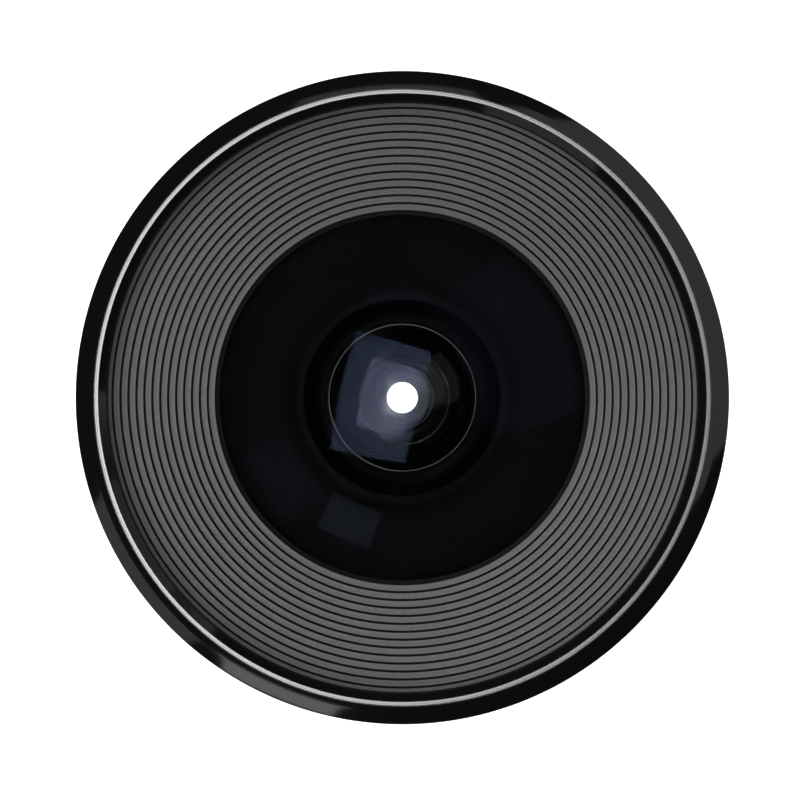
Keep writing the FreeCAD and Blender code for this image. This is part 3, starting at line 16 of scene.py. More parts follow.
import bpy
import numpy as np
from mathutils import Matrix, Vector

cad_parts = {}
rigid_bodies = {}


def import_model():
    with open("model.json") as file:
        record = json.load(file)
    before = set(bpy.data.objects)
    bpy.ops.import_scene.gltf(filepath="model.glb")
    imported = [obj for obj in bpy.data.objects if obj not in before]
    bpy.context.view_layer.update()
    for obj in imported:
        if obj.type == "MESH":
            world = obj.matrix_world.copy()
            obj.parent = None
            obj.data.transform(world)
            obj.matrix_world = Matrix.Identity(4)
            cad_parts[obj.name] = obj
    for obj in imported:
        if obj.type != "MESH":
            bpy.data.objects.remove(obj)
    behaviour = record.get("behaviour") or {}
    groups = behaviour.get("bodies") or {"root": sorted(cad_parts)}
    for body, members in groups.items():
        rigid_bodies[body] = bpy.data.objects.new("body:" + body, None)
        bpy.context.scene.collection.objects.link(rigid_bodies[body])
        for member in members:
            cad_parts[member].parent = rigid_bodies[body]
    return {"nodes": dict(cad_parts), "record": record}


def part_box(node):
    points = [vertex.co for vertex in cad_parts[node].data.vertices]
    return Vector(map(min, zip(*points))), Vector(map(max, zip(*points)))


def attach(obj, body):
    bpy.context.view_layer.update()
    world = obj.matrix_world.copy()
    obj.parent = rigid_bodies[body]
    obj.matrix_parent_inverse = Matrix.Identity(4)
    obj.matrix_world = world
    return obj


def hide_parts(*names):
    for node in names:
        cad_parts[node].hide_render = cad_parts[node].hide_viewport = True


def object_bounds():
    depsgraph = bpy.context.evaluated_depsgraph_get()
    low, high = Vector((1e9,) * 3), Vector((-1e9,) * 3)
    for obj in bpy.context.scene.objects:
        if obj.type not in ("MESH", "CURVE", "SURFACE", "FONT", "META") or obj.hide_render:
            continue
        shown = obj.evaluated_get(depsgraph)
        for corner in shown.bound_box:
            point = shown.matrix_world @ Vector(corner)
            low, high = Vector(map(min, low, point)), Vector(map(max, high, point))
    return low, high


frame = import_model()
MM = 0.001
cad_box = [list(corner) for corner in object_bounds()]
print("CAD box in mm:", [[round(number / MM, 2) for number in corner] for corner in cad_box])


def span(name):
    """Foot, top and outer radius of a turned CAD node, in millimetres."""
    low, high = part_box(name)
    return low[2] / MM, high[2] / MM, high[0] / MM

# %% [markdown]
# ## Writing shader maths as sums
#
# A finish is a small sum: colour here, less of it in a groove, a little more where an edge is worn.
# Node trees say that with many boxes and lines. One small class holds the output of a node and
# overloads the signs of arithmetic, so that `0.3 + grain * 0.1` adds the Math nodes by itself.
# Numbers go through Math nodes. Vectors and colours would turn grey there, so they go through
# Vector Math and Mix.


# %% A wire that can be added and multiplied
class Wire:
    """The output of a shader node."""

    def __init__(self, tree, socket):
        self.tree = tree
        self.socket = socket

    def add(self, kind, settings=None, sockets=None, output=0):
        """Adds a node of any type: its settings first, then the values or links of its sockets."""
        node = self.tree.nodes.new(kind)
        for name, setting in (settings or {}).items():
            setattr(node, name, setting)
        for name, given in (sockets or {}).items():
            if isinstance(given, Wire):
                self.tree.links.new(given.socket, node.inputs[name])
            else:
                node.inputs[name].default_value = given
        return Wire(self.tree, node.outputs[output]) if node.outputs else None

    def out(self, name):
        """Another output of the same node."""
        return Wire(self.tree, self.socket.node.outputs[name])

    def sum_node(self, operation, *others):
        """Math on numbers, Vector Math on vectors and colours."""
        wires = [wire for wire in others if isinstance(wire, Wire)]
        vector = any(wire.socket.type in ("VECTOR", "RGBA") for wire in wires)
        kind = "ShaderNodeVectorMath" if vector else "ShaderNodeMath"
        if vector:
            others = [(other,) * 3 if isinstance(other, (int, float)) else other for other in others]
        return self.add(kind, {"operation": operation}, dict(enumerate(others)))

    def __add__(self, other):
        return self.sum_node("ADD", self, other)

    def __radd__(self, other):
        return self.sum_node("ADD", other, self)

    def __sub__(self, other):
        return self.sum_node("SUBTRACT", self, other)

    def __rsub__(self, other):
        return self.sum_node("SUBTRACT", other, self)

    def __mul__(self, other):
        return self.sum_node("MULTIPLY", self, other)

    def __rmul__(self, other):
        return self.sum_node("MULTIPLY", other, self)

    def __truediv__(self, other):
        return self.sum_node("DIVIDE", self, other)

    def __rtruediv__(self, other):
        return self.sum_node("DIVIDE", other, self)

    def __pow__(self, other):
        return self.sum_node("POWER", self, other)

    def __mod__(self, other):
        return self.sum_node("FLOORED_MODULO", self, other)

    def __gt__(self, other):
        return self.sum_node("GREATER_THAN", self, other)

    def __lt__(self, other):
        return self.sum_node("LESS_THAN", self, other)

    def __abs__(self):
        return self.sum_node("ABSOLUTE", self)

    def clamp(self):
        """The number held between 0 and 1."""
        return self.add("ShaderNodeClamp", {}, {"Value": self})

    def mix(self, first, second):
        """The colour first where this wire is 0, and second where it is 1."""
        return self.add("ShaderNodeMix", {"data_type": "RGBA"}, {0: self, 6: first, 7: second}, 2)


def grey(level, warm=0.0):
    """A grey with a slight cast: warm above 0, cool below."""
    return (level * (1 + warm), level, level * (1 - warm), 1)


print("socket arithmetic is ready")

# %% [markdown]
# ## Where a point is on a turned part
#
# Nearly every piece of a lens comes off a lathe, so its finish runs in circles round the optical
# axis. Image textures would need unwrapping. Object coordinates need none: the axis is at x = y = 0,
# so the distance from it and the height along it say which ring of the piece a point is on.
# Turning marks are then noise that changes quickly with distance and height, and hardly with angle.


# %% Start a finish and find the lathe's coordinates
class Finish:
    """A new material with wires to the place on the lathe, in millimetres."""

    AROUND = 0.7

    def __init__(self, name):
        self.material = bpy.data.materials.new(name)
        self.material.use_nodes = True
        self.tree = self.material.node_tree
        self.tree.nodes.clear()
        start = Wire(self.tree, None)
        self.point = start.add("ShaderNodeTexCoord", {}, {}, "Object") * (1 / MM)
        parts = self.point.add("ShaderNodeSeparateXYZ", {}, {0: self.point})
        self.x, self.y, self.height = parts.out("X"), parts.out("Y"), parts.out("Z")
        self.radius = (self.x * self.x + self.y * self.y) ** 0.5
        self.angle = self.x.sum_node("ARCTAN2", self.y, self.x)

    def turning(self, pitch):
        """Fine turning marks: noise along the section of the piece, drawn out round the axis."""
        place = self.point.add("ShaderNodeCombineXYZ", {}, {
            "X": self.radius / pitch,
            "Y": self.height / pitch,
            "Z": self.angle * self.AROUND,
        })
        return place.add("ShaderNodeTexNoise", {}, {"Vector": place, "Scale": 1.0, "Detail": 3.0})

    def grain(self, size, detail=2.0):
        """Even noise with grains of about the given size."""
        return self.point.add("ShaderNodeTexNoise", {}, {
            "Vector": self.point,
            "Scale": 1 / size,
            "Detail": detail,
        })

    def bump(self, height, depth, strength=1.0):
        """Normals of a fine relief, with its depth in millimetres."""
        return height.add("ShaderNodeBump", {}, {
            "Strength": strength,
            "Distance": depth * MM,
            "Height": height,
        })

    def surface(self, **sockets):
        """Closes the finish with a Principled surface. Underscores in names stand for spaces."""
        named = {name.replace("_", " "): given for name, given in sockets.items()}
        shader = self.point.add("ShaderNodeBsdfPrincipled", {}, named)
        shader.add("ShaderNodeOutputMaterial", {}, {"Surface": shader})
        print("finish:", self.material.name)
        return self.material


FINISHES = {}

# %% [markdown]
# ## The collar: glossy black anodising
#
# The outermost ring is turned aluminium with a hard, dense black coat. Square on, it mirrors the
# lamps in some directions and the dark room in the others, which is what gives its two bands their
# bright and dark stretches. A dark base colour alone would be too matt. The coat has a higher
# refractive index than paint, so about a tenth of the light is mirrored, a little blurred by the
# turning marks under the coat.

# %% Collar
finish = Finish("collar_black")
marks = finish.turning(0.16)
FINISHES["front_anodised"] = finish.surface(
    Base_Color=grey(0.0020),
    Roughness=0.05 + marks * 0.06,
    IOR=1.9,
    Normal=finish.bump(marks, 0.0006),
)

# %% [markdown]
# ## The bezel: satin metal
#
# A thin ring of bare metal is let into the face. It was turned with a fine feed, so it is satin
# rather than polished, and its tone changes slowly round the ring. Metallic with a middling
# roughness does this. The marks also vary the roughness, which keeps the ring from looking printed.

# %% Bezel
finish = Finish("bezel_satin")
marks = finish.turning(0.10)
FINISHES["bezel_metal"] = finish.surface(
    Base_Color=marks.mix(grey(0.142, -0.04), grey(0.192, -0.04)),
    Metallic=1.0,
    Roughness=0.30 + marks * 0.12,
    Normal=finish.bump(marks, 0.004),
)

# %% [markdown]
# ## The light trap: matte paint and dark grooves
#
# The treads between collar and glass stop stray light. They carry a flat grey-black paint with a
# fine tooth, and a groove runs at the foot of each step. The treads and grooves are real geometry,
# but the lamps here leave a groove 0.4 mm wide lighter than its deep shade. So the shader paints
# shade into the grooves, found from the distance to the axis, and paints the edges beside them a
# little lighter: partly wear, partly a painted highlight where the edges catch the light. Two sizes
# of grain break up the paint: a coarse one for uneven spray and a fine one for the tooth.

# %% Treads and grooves
GROOVE_FIRST = 34.11
GROOVE_PITCH = 1.373
GROOVE_HALF = 0.205
GROOVE_SHADE = 0.83
PAINT_LEVEL = 0.116
TOOTH_SPREAD = 0.105
SPRAY_SPREAD = 0.022
OUTER_RUB_AND_HIGHLIGHT, OUTER_RIM_WIDTH = 0.42, 0.36
INNER_RUB_AND_HIGHLIGHT, INNER_RIM_WIDTH = 0.10, 0.12
finish = Finish("tread_paint_and_shade")
tooth = finish.grain(0.20, 1.0)
spray = finish.grain(1.6, 3.0)
across = (finish.radius - (GROOVE_FIRST - GROOVE_PITCH / 2)) % GROOVE_PITCH
aside = across - GROOVE_PITCH / 2
groove = abs(aside) < GROOVE_HALF
# lighter rims beside each groove: partly wear, partly painted highlight
outer_edge = (1 + (aside + GROOVE_HALF) / OUTER_RIM_WIDTH).clamp() * (aside < 0)
inner_edge = (1 - (aside - GROOVE_HALF) / INNER_RIM_WIDTH).clamp() * (aside > 0)
paint = PAINT_LEVEL + (tooth - 0.5) * TOOTH_SPREAD + (spray - 0.5) * SPRAY_SPREAD
rubbed_and_highlit = paint * (1 + outer_edge * OUTER_RUB_AND_HIGHLIGHT + inner_edge * INNER_RUB_AND_HIGHLIGHT)
# painted shade on the groove floors
groove_shaded = rubbed_and_highlit * (1 - groove * GROOVE_SHADE)
print("groove floors keep", round(1 - GROOVE_SHADE, 2), "of the paint's tone")

# %% [markdown]
# The collar's wall stands over the outermost treads. Most of the light comes from the left, so the
# wall keeps it from them more there than on the right. The lamps of this scene are broad and soften
# that, so the shader paints the shade in: the tone falls towards the wall, more on the left, and
# the thin gap at its foot is painted nearly black as shade.

# %% Painted shade under the collar's wall
TRAP_EDGE = span("stepped_baffle")[2]
WALL_REACH = 6.0
WALL_SHADE = 0.36
LEFT_SHADE = 0.27
RIGHT = (0.94, -0.34)
GAP_WIDTH = 0.22
GAP_SHADE = 0.9
to_wall = ((finish.radius - TRAP_EDGE + WALL_REACH) / WALL_REACH).clamp()
to_right = (finish.x * RIGHT[0] + finish.y * RIGHT[1]) / finish.radius
# painted shade: the tone falls towards the wall, most on the left
shade = to_wall * to_wall * (WALL_SHADE - to_right * LEFT_SHADE)
# painted shade: the thin gap at the wall's foot is nearly black
gap = (finish.radius > TRAP_EDGE - GAP_WIDTH) * GAP_SHADE
level = groove_shaded * (1 - shade) * (1 - gap)
even = {"Red": level, "Green": level, "Blue": level}
FINISHES["baffle_matte"] = finish.surface(
    Base_Color=level.add("ShaderNodeCombineColor", {}, even),
    Roughness=0.92,
    Specular_IOR_Level=0.12,
    Normal=finish.bump(tooth, 0.02, 0.6),
)

# %% [markdown]
# ## The rings that turn: satin black anodising
#
# Focus ring, iris ring, index ring and rear barrel are anodised satin black. Handling wears the
# outer edges first, so the gear teeth get a lighter tip in patches, found by their height and their
# distance from the axis. Fine turning marks carry the light round the cylinder, and a soft large
# noise keeps the long highlights from being ruler-straight.

# %% Ring finish
FOCUS_TOOTH_TIP, FOCUS_GEAR_FOOT = 50.8, 50
IRIS_TOOTH_TIP, IRIS_GEAR_TOP = 45.6, 22
WEAR_DEPTH = 0.06
WEAR_FROM = 0.47
finish = Finish("ring_black")
marks = finish.turning(0.13)
patches = finish.grain(9.0)
focus_tip = (finish.radius > FOCUS_TOOTH_TIP - WEAR_DEPTH) * (finish.height > FOCUS_GEAR_FOOT)
iris_tip = (finish.radius > IRIS_TOOTH_TIP - WEAR_DEPTH) * (finish.height < IRIS_GEAR_TOP)
worn = ((focus_tip + iris_tip) * (patches > WEAR_FROM)).clamp()
FINISHES["ring_anodised"] = finish.surface(
    Base_Color=worn.mix(grey(0.018), grey(0.075, 0.02)),
    Roughness=0.30 + marks * 0.14 + (patches - 0.5) * 0.10,
    IOR=1.6,
    Normal=finish.bump(marks, 0.003),
)

# %% [markdown]
# ## Inside: black cells, iris and cores
#
# The cells that hold the glass are matt black so that they stay out of the picture. The retaining
# rings and the core are anodised, the iris blades are thin blackened steel with a slight sheen.
# One helper makes this family, because only tone and gloss differ.


# %% Blackened metals
MARK_TONE = 0.2
MARK_ROUGH = 0.12


def blackened(slot, name, level, roughness, pitch, ior=1.5):
    """A dark coated metal with turning marks."""
    black = Finish(name)
    lines = black.turning(pitch)
    FINISHES[slot] = black.surface(
        Base_Color=lines.mix(grey(level * (1 - MARK_TONE)), grey(level * (1 + MARK_TONE))),
        Roughness=roughness + lines * MARK_ROUGH,
        IOR=ior,
        Normal=black.bump(lines, 0.003),
    )


blackened("cell_black", "cell_black", 0.007, 0.80, 0.20, 1.2)
blackened("core_metal", "core_black", 0.022, 0.34, 0.16)
blackened("iris_black", "iris_black", 0.010, 0.55, 0.20)
blackened("blade_steel", "blade_steel", 0.010, 0.50, 0.30, 1.4)
blackened("screw_black", "screw_oxide", 0.020, 0.30, 0.08, 2.0)

# %% [markdown]
# ## Bare metals: mount, pins, shim and cam sleeve
#
# The mount is plated metal that rubs against the camera's seat, so it is bright, brushed in circles
# and a little hazed. The pins are ground steel. The cam sleeve inside the focus ring is bronze.
# All are metallic surfaces whose roughness follows the turning marks.


# %% Bare metals
DIM_SHARE = 0.82
HAZE = 0.1


def bright_metal(slot, name, colour, roughness, pitch):
    """A turned bare metal, with a soft haze over it."""
    metal = Finish(name)
    lines = metal.turning(pitch)
    cloud = metal.grain(7.0, 3.0)
    dim = tuple(part * DIM_SHARE for part in colour) + (1,)
    FINISHES[slot] = metal.surface(
        Base_Color=lines.mix(dim, colour + (1,)),
        Metallic=1.0,
        Roughness=roughness + lines * MARK_ROUGH + (cloud - 0.5) * HAZE,
        Normal=metal.bump(lines, 0.003),
    )


bright_metal("mount_steel", "mount_plate", (0.62, 0.61, 0.59), 0.24, 0.14)
bright_metal("pin_steel", "pin_steel", (0.56, 0.55, 0.54), 0.22, 0.08)
bright_metal("shim_steel", "shim_steel", (0.60, 0.60, 0.60), 0.30, 0.12)
bright_metal("cam_bronze", "cam_bronze", (0.55, 0.36, 0.17), 0.32, 0.12)

# %% [markdown]
# ## Dress the CAD nodes
#
# The record says which material slot each node takes its finish from. Each node keeps its mesh and
# gets the finish of its slot.

# %% Give each node its finish
slots = {part["node"]: part["material_slot"] for part in frame["record"]["subparts"]}
for name, node in frame["nodes"].items():
    if slots[name] not in FINISHES:
        continue
    if not node.material_slots:
        node.data.materials.append(None)
    for holder in node.material_slots:
        holder.material = FINISHES[slots[name]]
print("dressed nodes:", sum(slot in FINISHES for slot in slots.values()))

# %% [markdown]
# ## A lathe for fine meshes
#
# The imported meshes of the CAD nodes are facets. That is fine for most rings, but not for a glossy
# edge or for glass, where each facet shows in the mirror image. Those pieces are turned again here
# from their own sections, as on a lathe: a closed outline of radius and height is swept round the
# axis. The outline also says which material each face has, so paint and bare metal can meet at an
# edge. Subdividing the CAD mesh would keep the facets' errors, and a Screw modifier would give each
# piece one material. Faces that meet at more than 12 degrees keep a sharp edge between them.

# %% Sweep a section round the axis
TURN_STEPS = 192
FINE_STEPS = 256
SHARP = math.radians(12)
ON_AXIS = 1e-6


def turned(name, section, materials, steps=TURN_STEPS):
    """Sweeps a closed section of (radius, height, material number) round the axis.

    The number says which material the face from that point to the next one has.
    """
    angles = [2 * math.pi * step / steps for step in range(steps)]
    points = []
    rings = []
    for radius, height, _ in section:
        if radius < ON_AXIS:
            rings.append([len(points)] * steps)
            points.append((0, 0, height * MM))
            continue
        rings.append(list(range(len(points), len(points) + steps)))
        points += [
            (radius * MM * math.cos(angle), radius * MM * math.sin(angle), height * MM)
            for angle in angles
        ]
    faces = []
    numbers = []
    for index, (low, (_, _, number)) in enumerate(zip(rings, section)):
        high = rings[(index + 1) % len(rings)]
        if low[0] == low[1] and high[0] == high[1]:
            continue
        for step in range(steps):
            following = (step + 1) % steps
            corners = [low[step], low[following], high[following], high[step]]
            faces.append(list(dict.fromkeys(corners)))
            numbers.append(number)
    mesh = bpy.data.meshes.new(name)
    mesh.from_pydata(points, [], faces)
    mesh.polygons.foreach_set("material_index", numbers)
    mesh.shade_smooth()
    mesh.set_sharp_from_angle(angle=SHARP)
    mesh.validate()
    for material in materials:
        mesh.materials.append(material)
    piece = bpy.data.objects.new(name, mesh)
    bpy.context.scene.collection.objects.link(piece)
    return piece


print("lathe steps:", TURN_STEPS, "and", FINE_STEPS)

# %% [markdown]
# A polished face is part of a sphere, so its section is an arc. It is given by its vertex on the
# axis and the radius of its curve, as opticians do.


# %% Arcs of polished faces
def arc(inner, outer, vertex, curve, side, steps, number):
    """Points of a spherical face between two radii. Side 1 bulges to the subject, -1 away."""
    radii = np.linspace(inner, outer, steps + 1)
    heights = [vertex - side * (curve - math.sqrt(curve**2 - radius**2)) for radius in radii]
    return [(float(radius), float(height), number) for radius, height in zip(radii, heights)]


print("a curve of 20 mm rises", round(arc(0, 10, 0, 20, -1, 1, 0)[-1][1], 3), "mm within 10 mm")

# %% [markdown]
# ## The collar
#
# Two bands lead from the outer wall to the bezel, each with a slope of its own, and the outer edge is
# a small true round. Inside the bezel a steep slope runs down to the treads. The web at the foot
# is bolted down with six screws under the light trap, so the turned piece gets their holes with a
# Boolean, and its result is kept as the mesh.


# %% Drill a turned piece
DRILL_SIDES = 32
DRILL_PAST = 0.5


def drilled(piece, circle, radius, bottom, top, count, start):
    """Cuts holes parallel to the axis with one Boolean and keeps the result."""
    points = []
    faces = []
    for hole in range(count):
        turn = math.radians(start + 360 * hole / count)
        centre = (circle * math.cos(turn), circle * math.sin(turn))
        low = range(len(points), len(points) + DRILL_SIDES)
        high = range(low.stop, low.stop + DRILL_SIDES)
        for height in (bottom - DRILL_PAST, top + DRILL_PAST):
            for side in range(DRILL_SIDES):
                angle = 2 * math.pi * side / DRILL_SIDES
                x = centre[0] + radius * math.cos(angle)
                y = centre[1] + radius * math.sin(angle)
                points.append((x * MM, y * MM, height * MM))
        faces.append(list(reversed(low)))
        faces.append(list(high))
        for side in range(DRILL_SIDES):
            following = (side + 1) % DRILL_SIDES
            faces.append([low[side], low[following], high[following], high[side]])
    mesh = bpy.data.meshes.new("drills")
    mesh.from_pydata(points, [], faces)
    drills = bpy.data.objects.new("drills", mesh)
    bpy.context.scene.collection.objects.link(drills)
    cut = piece.modifiers.new("holes", "BOOLEAN")
    cut.operation = "DIFFERENCE"
    cut.solver = "EXACT"
    cut.object = drills
    shown = piece.evaluated_get(bpy.context.evaluated_depsgraph_get())
    result = bpy.data.meshes.new_from_object(shown)
    piece.modifiers.clear()
    piece.data = result
    result.shade_smooth()
    result.set_sharp_from_angle(angle=SHARP)
    bpy.data.objects.remove(drills)
    print("drilled", piece.name, "faces:", len(result.polygons))


print("drill sides:", DRILL_SIDES)

# %% [markdown]
# A turned piece takes the place of its CAD node: the node is hidden, and the piece rides on its
# body.

# %% Let a piece stand for its CAD node
bodies = frame["record"]["behaviour"]["bodies"]
carried = {node: body for body, nodes in bodies.items() for node in nodes}


def stands_for(piece, name):
    """Hides the CAD node and lets the piece ride on its body."""
    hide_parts(name)
    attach(piece, carried[name])


print("nodes on a body:", len(carried))

# %% [markdown]
# The collar shares sizes with its neighbours, and those come from their CAD boxes. Its own are the
# width and the fall of each band, the round at the rim, and the small breaks at the other edges.

# %% Sizes of the collar
collar_foot, collar_top, collar_rim = span("front_ring")
bezel_foot, bezel_top, bezel_rim = span("front_bezel")
cell_rim = span("front_cell")[2]
_, core_top, core_rim = span("guide_barrel")
SEAT_GAP = 0.03
BEZEL_WIDTH = 0.8
WEB_HEIGHT = 3.0
FLARE_RADIUS = 51.0
WALL_FOOT = 73.0
INNER_BAND = (1.2, 0.35)
OUTER_BAND = (1.95, 0.858)
EDGE_ROUND = 0.2
SLOPE = (1.36, 1.0)
SLOPE_TOP = 88.95
BREAK = 0.05
RIDGE_BREAK = 0.10
SCREWS = 6
SCREW_START = 15.0
SCREW_INSET = 3.3
SCREW_HOLE = 1.5
print("collar's foot, top and rim:", [round(size, 2) for size in span("front_ring")])

# %% [markdown]
# The section runs from the foot up the outer wall, over the rim and both bands to the bezel's seat,
# down the inner slope to the treads, and back under the web.

# %% Turn the collar
seat_out = bezel_rim + SEAT_GAP
seat_in = bezel_rim - BEZEL_WIDTH - SEAT_GAP
bore = TRAP_EDGE + SEAT_GAP
web_top = core_top + WEB_HEIGHT
ridge_height = collar_top - INNER_BAND[1]
ridge = seat_out + INNER_BAND[0]
tilt = math.atan2(OUTER_BAND[1], OUTER_BAND[0])
reach = EDGE_ROUND * math.tan((math.pi / 2 - tilt) / 2)
round_height = ridge_height - OUTER_BAND[1] - reach
round_centre = collar_rim - EDGE_ROUND
edge = [
    (round_centre + EDGE_ROUND * math.cos(turn), round_height + EDGE_ROUND * math.sin(turn), 0)
    for turn in np.linspace(0.0, math.pi / 2 - tilt, 13)
]
collar_section = [
    (core_rim + SEAT_GAP, collar_foot, 0),
    (FLARE_RADIUS, collar_foot, 0),
    (collar_rim - BREAK, WALL_FOOT - BREAK, 0),
    (collar_rim, WALL_FOOT + BREAK, 0),
    *edge,
    (ridge + RIDGE_BREAK, ridge_height - RIDGE_BREAK * math.tan(tilt), 0),
    (ridge - RIDGE_BREAK, ridge_height + RIDGE_BREAK * INNER_BAND[1] / INNER_BAND[0], 0),
    (seat_out + BREAK, collar_top - BREAK * INNER_BAND[1] / INNER_BAND[0], 0),
    (seat_out, collar_top - BREAK, 0),
    (seat_out, bezel_foot, 0),
    (seat_in, bezel_foot, 0),
    (seat_in, SLOPE_TOP - BREAK, 0),
    (seat_in - BREAK, SLOPE_TOP - BREAK * SLOPE[1] / SLOPE[0], 0),
    (bore + BREAK, SLOPE_TOP - SLOPE[1] + BREAK * SLOPE[1] / SLOPE[0], 0),
    (bore, SLOPE_TOP - SLOPE[1] - BREAK, 0),
    (bore, web_top, 0),
    (cell_rim + SEAT_GAP, web_top, 0),
    (cell_rim + SEAT_GAP, core_top, 0),
    (core_rim + SEAT_GAP, core_top, 0),
]
collar = turned("collar", collar_section, [FINISHES["front_anodised"]], FINE_STEPS)
drilled(collar, core_rim - SCREW_INSET, SCREW_HOLE, core_top, web_top, SCREWS, SCREW_START)
stands_for(collar, "front_ring")

# %% [markdown]
# The bezel's top leans outward by a few degrees, and a hair-fine line runs round its middle where
# the finishing tool turned back.

# %% Turn the bezel
BEZEL_FALL = 0.07
BEZEL_BREAK = 0.05
BEZEL_OUTER_BREAK = 0.18
LINE_HALF = 0.035
bezel_bore = bezel_rim - BEZEL_WIDTH
bezel_middle = bezel_rim - BEZEL_WIDTH / 2


def bezel_height(radius):
    """Height of the bezel's top, which leans outward."""
    return bezel_top - BEZEL_FALL * (radius - bezel_bore) / BEZEL_WIDTH


bezel_section = [
    (bezel_bore, bezel_foot, 0),
    (bezel_rim, bezel_foot, 0),
    (bezel_rim, bezel_height(bezel_rim) - BEZEL_OUTER_BREAK, 0),
    (bezel_rim - BEZEL_OUTER_BREAK, bezel_height(bezel_rim - BEZEL_OUTER_BREAK), 0),
    (bezel_middle + LINE_HALF, bezel_height(bezel_middle + LINE_HALF), 0),
    (bezel_middle, bezel_height(bezel_middle) - LINE_HALF, 0),
    (bezel_middle - LINE_HALF, bezel_height(bezel_middle - LINE_HALF), 0),
    (bezel_bore + BEZEL_BREAK, bezel_height(bezel_bore + BEZEL_BREAK), 0),
    (bezel_bore, bezel_top - BEZEL_BREAK, 0),
]
bezel = turned("bezel", bezel_section, [FINISHES["bezel_metal"]], FINE_STEPS)
stands_for(bezel, "front_bezel")
print("bezel from", round(bezel_bore, 2), "to", round(bezel_rim, 2), "mm from the axis")

# %% [markdown]
# ## Glass
#
# A lens element is polished glass under a coat of several thin layers. The coat cancels most of the
# mirror image and leaves a faint coloured rest. Blender's thin film is a single layer: it leaves a
# strong purple or blue. The specular tint scales the mirror image of clear glass colour by colour,
# so it can say what several layers leave: some twentieth part of it, a little more in the blue. The
# edge of each element, and the flat ring behind the first one, are painted black against stray
# light. The paint is darker towards its inner edge, by the clear middle.


# %% Coated glass and edge paint
def coated_glass(name, index, rest):
    """Clear glass of a refractive index. The coat leaves a share of each colour's mirror image."""
    glass = Finish(name)
    return glass.surface(
        Base_Color=(0.98, 0.98, 0.98, 1),
        Roughness=0.0,
        IOR=index,
        Transmission_Weight=1.0,
        Specular_Tint=rest + (1,),
    )


PAINT_START = 17.6
PAINT_FADE_END = 20.6
finish = Finish("edge_paint")
# the paint is darker towards its inner edge and reaches its full tone further out
outward_share = ((finish.radius - PAINT_START) / (PAINT_FADE_END - PAINT_START)).clamp()
EDGE_PAINT = finish.surface(
    Base_Color=outward_share.mix(grey(0.0025, -0.17), grey(0.0090, -0.17)),
    Roughness=0.75,
    Specular_IOR_Level=0.06,
    Normal=finish.bump(finish.grain(0.4), 0.01),
)

# %% [markdown]
# ## The nine elements
#
# A ray that is bent eighteen times on its way through the lens shows every facet, so each element is
# turned from its own radii with fine arcs. The two front elements are hollow behind, and their deep
# rear faces show most, so they are swept in twice as many steps. An element is drawn 0.01 mm smaller
# than the CAD solid, so that two that are cemented together never share a surface. Rim and front
# vertex come from the CAD node. Each row gives the front curve and its side, the thickness, the rear
# curve and its side, where the rear face is smaller than the rim its radius, the refractive index,
# and what the front coat and the rear coat leave of red, green and blue. In the photograph the images
# from behind element 1 and from the front of element 2 are far brighter than the others, so their
# coats leave a third or more.

# %% Turn the elements
SKIN = 0.01
FRONT_ARC = 64
REAR_ARC = 48
FAINT = (0.05, 0.06, 0.08)
BLUE = (0.049, 0.063, 0.107)
WARM = (0.40, 0.375, 0.35)
COOL = (0.30, 0.33, 0.36)
ELEMENTS = [
    ("element_1", 62.0, 1, 3.4, 20.4, 1, 17.6, 1.77, BLUE, WARM),
    ("element_2", 64.0, 1, 2.2, 19.0, 1, 15.0, 1.70, COOL, FAINT),
    ("element_3", 67.7, 1, 6.0, 80.0, -1, None, 1.67, FAINT, FAINT),
    ("element_4", 29.9, -1, 1.8, 30.0, 1, None, 1.52, FAINT, FAINT),
    ("element_5", 30.0, 1, 6.0, 68.4, -1, None, 1.72, FAINT, FAINT),
    ("element_6", 34.0, 1, 4.0, 40.0, -1, None, 1.50, FAINT, FAINT),
    ("element_7", 24.0, -1, 1.4, 22.0, 1, None, 1.80, FAINT, FAINT),
    ("element_8", 22.0, 1, 5.6, 25.6, -1, None, 1.50, FAINT, FAINT),
    ("element_9", 80.0, 1, 4.2, 32.0, -1, None, 1.50, FAINT, FAINT),
]


def turn_element(name, front, front_side, thickness, rear, rear_side, rear_rim, index, *rests):
    """One element: the rear face from the axis outward, then the front face back to the axis."""
    rim = span(name)[2] - SKIN
    vertex = span(name)[1] - SKIN
    if front_side < 0:
        vertex -= front - math.sqrt(front**2 - rim**2)
    rear_edge = rear_rim - SKIN if rear_rim else rim
    section = arc(0, rear_edge, vertex - thickness + 2 * SKIN, rear, rear_side, REAR_ARC, 2)
    section[-1] = section[-1][:2] + (1,)
    if rear_rim:
        section.append((rim, section[-1][1], 1))
    section += reversed(arc(0, rim, vertex, front, front_side, FRONT_ARC, 0))
    front_glass = coated_glass(name + "_front", index, rests[0])
    rear_glass = coated_glass(name + "_rear", index, rests[1])
    steps = TURN_STEPS * 2 if rear_rim else TURN_STEPS
    piece = turned(name + "_fine", section, [front_glass, EDGE_PAINT, rear_glass], steps)
    stands_for(piece, name)
    print(name, "vertex at", round(vertex, 2), "rim", round(rim, 2))


for row in ELEMENTS:
    turn_element(*row)

# %% [markdown]
# ## The bare edge of the second retainer
#
# Through the first element one sees a thin bright circle. It is the rim of the ring that holds the
# second element: the black coat is gone from its narrow lip, which leans outward and catches the
# lamps on the left. The ring is turned with its lip in bare metal and the rest in black.

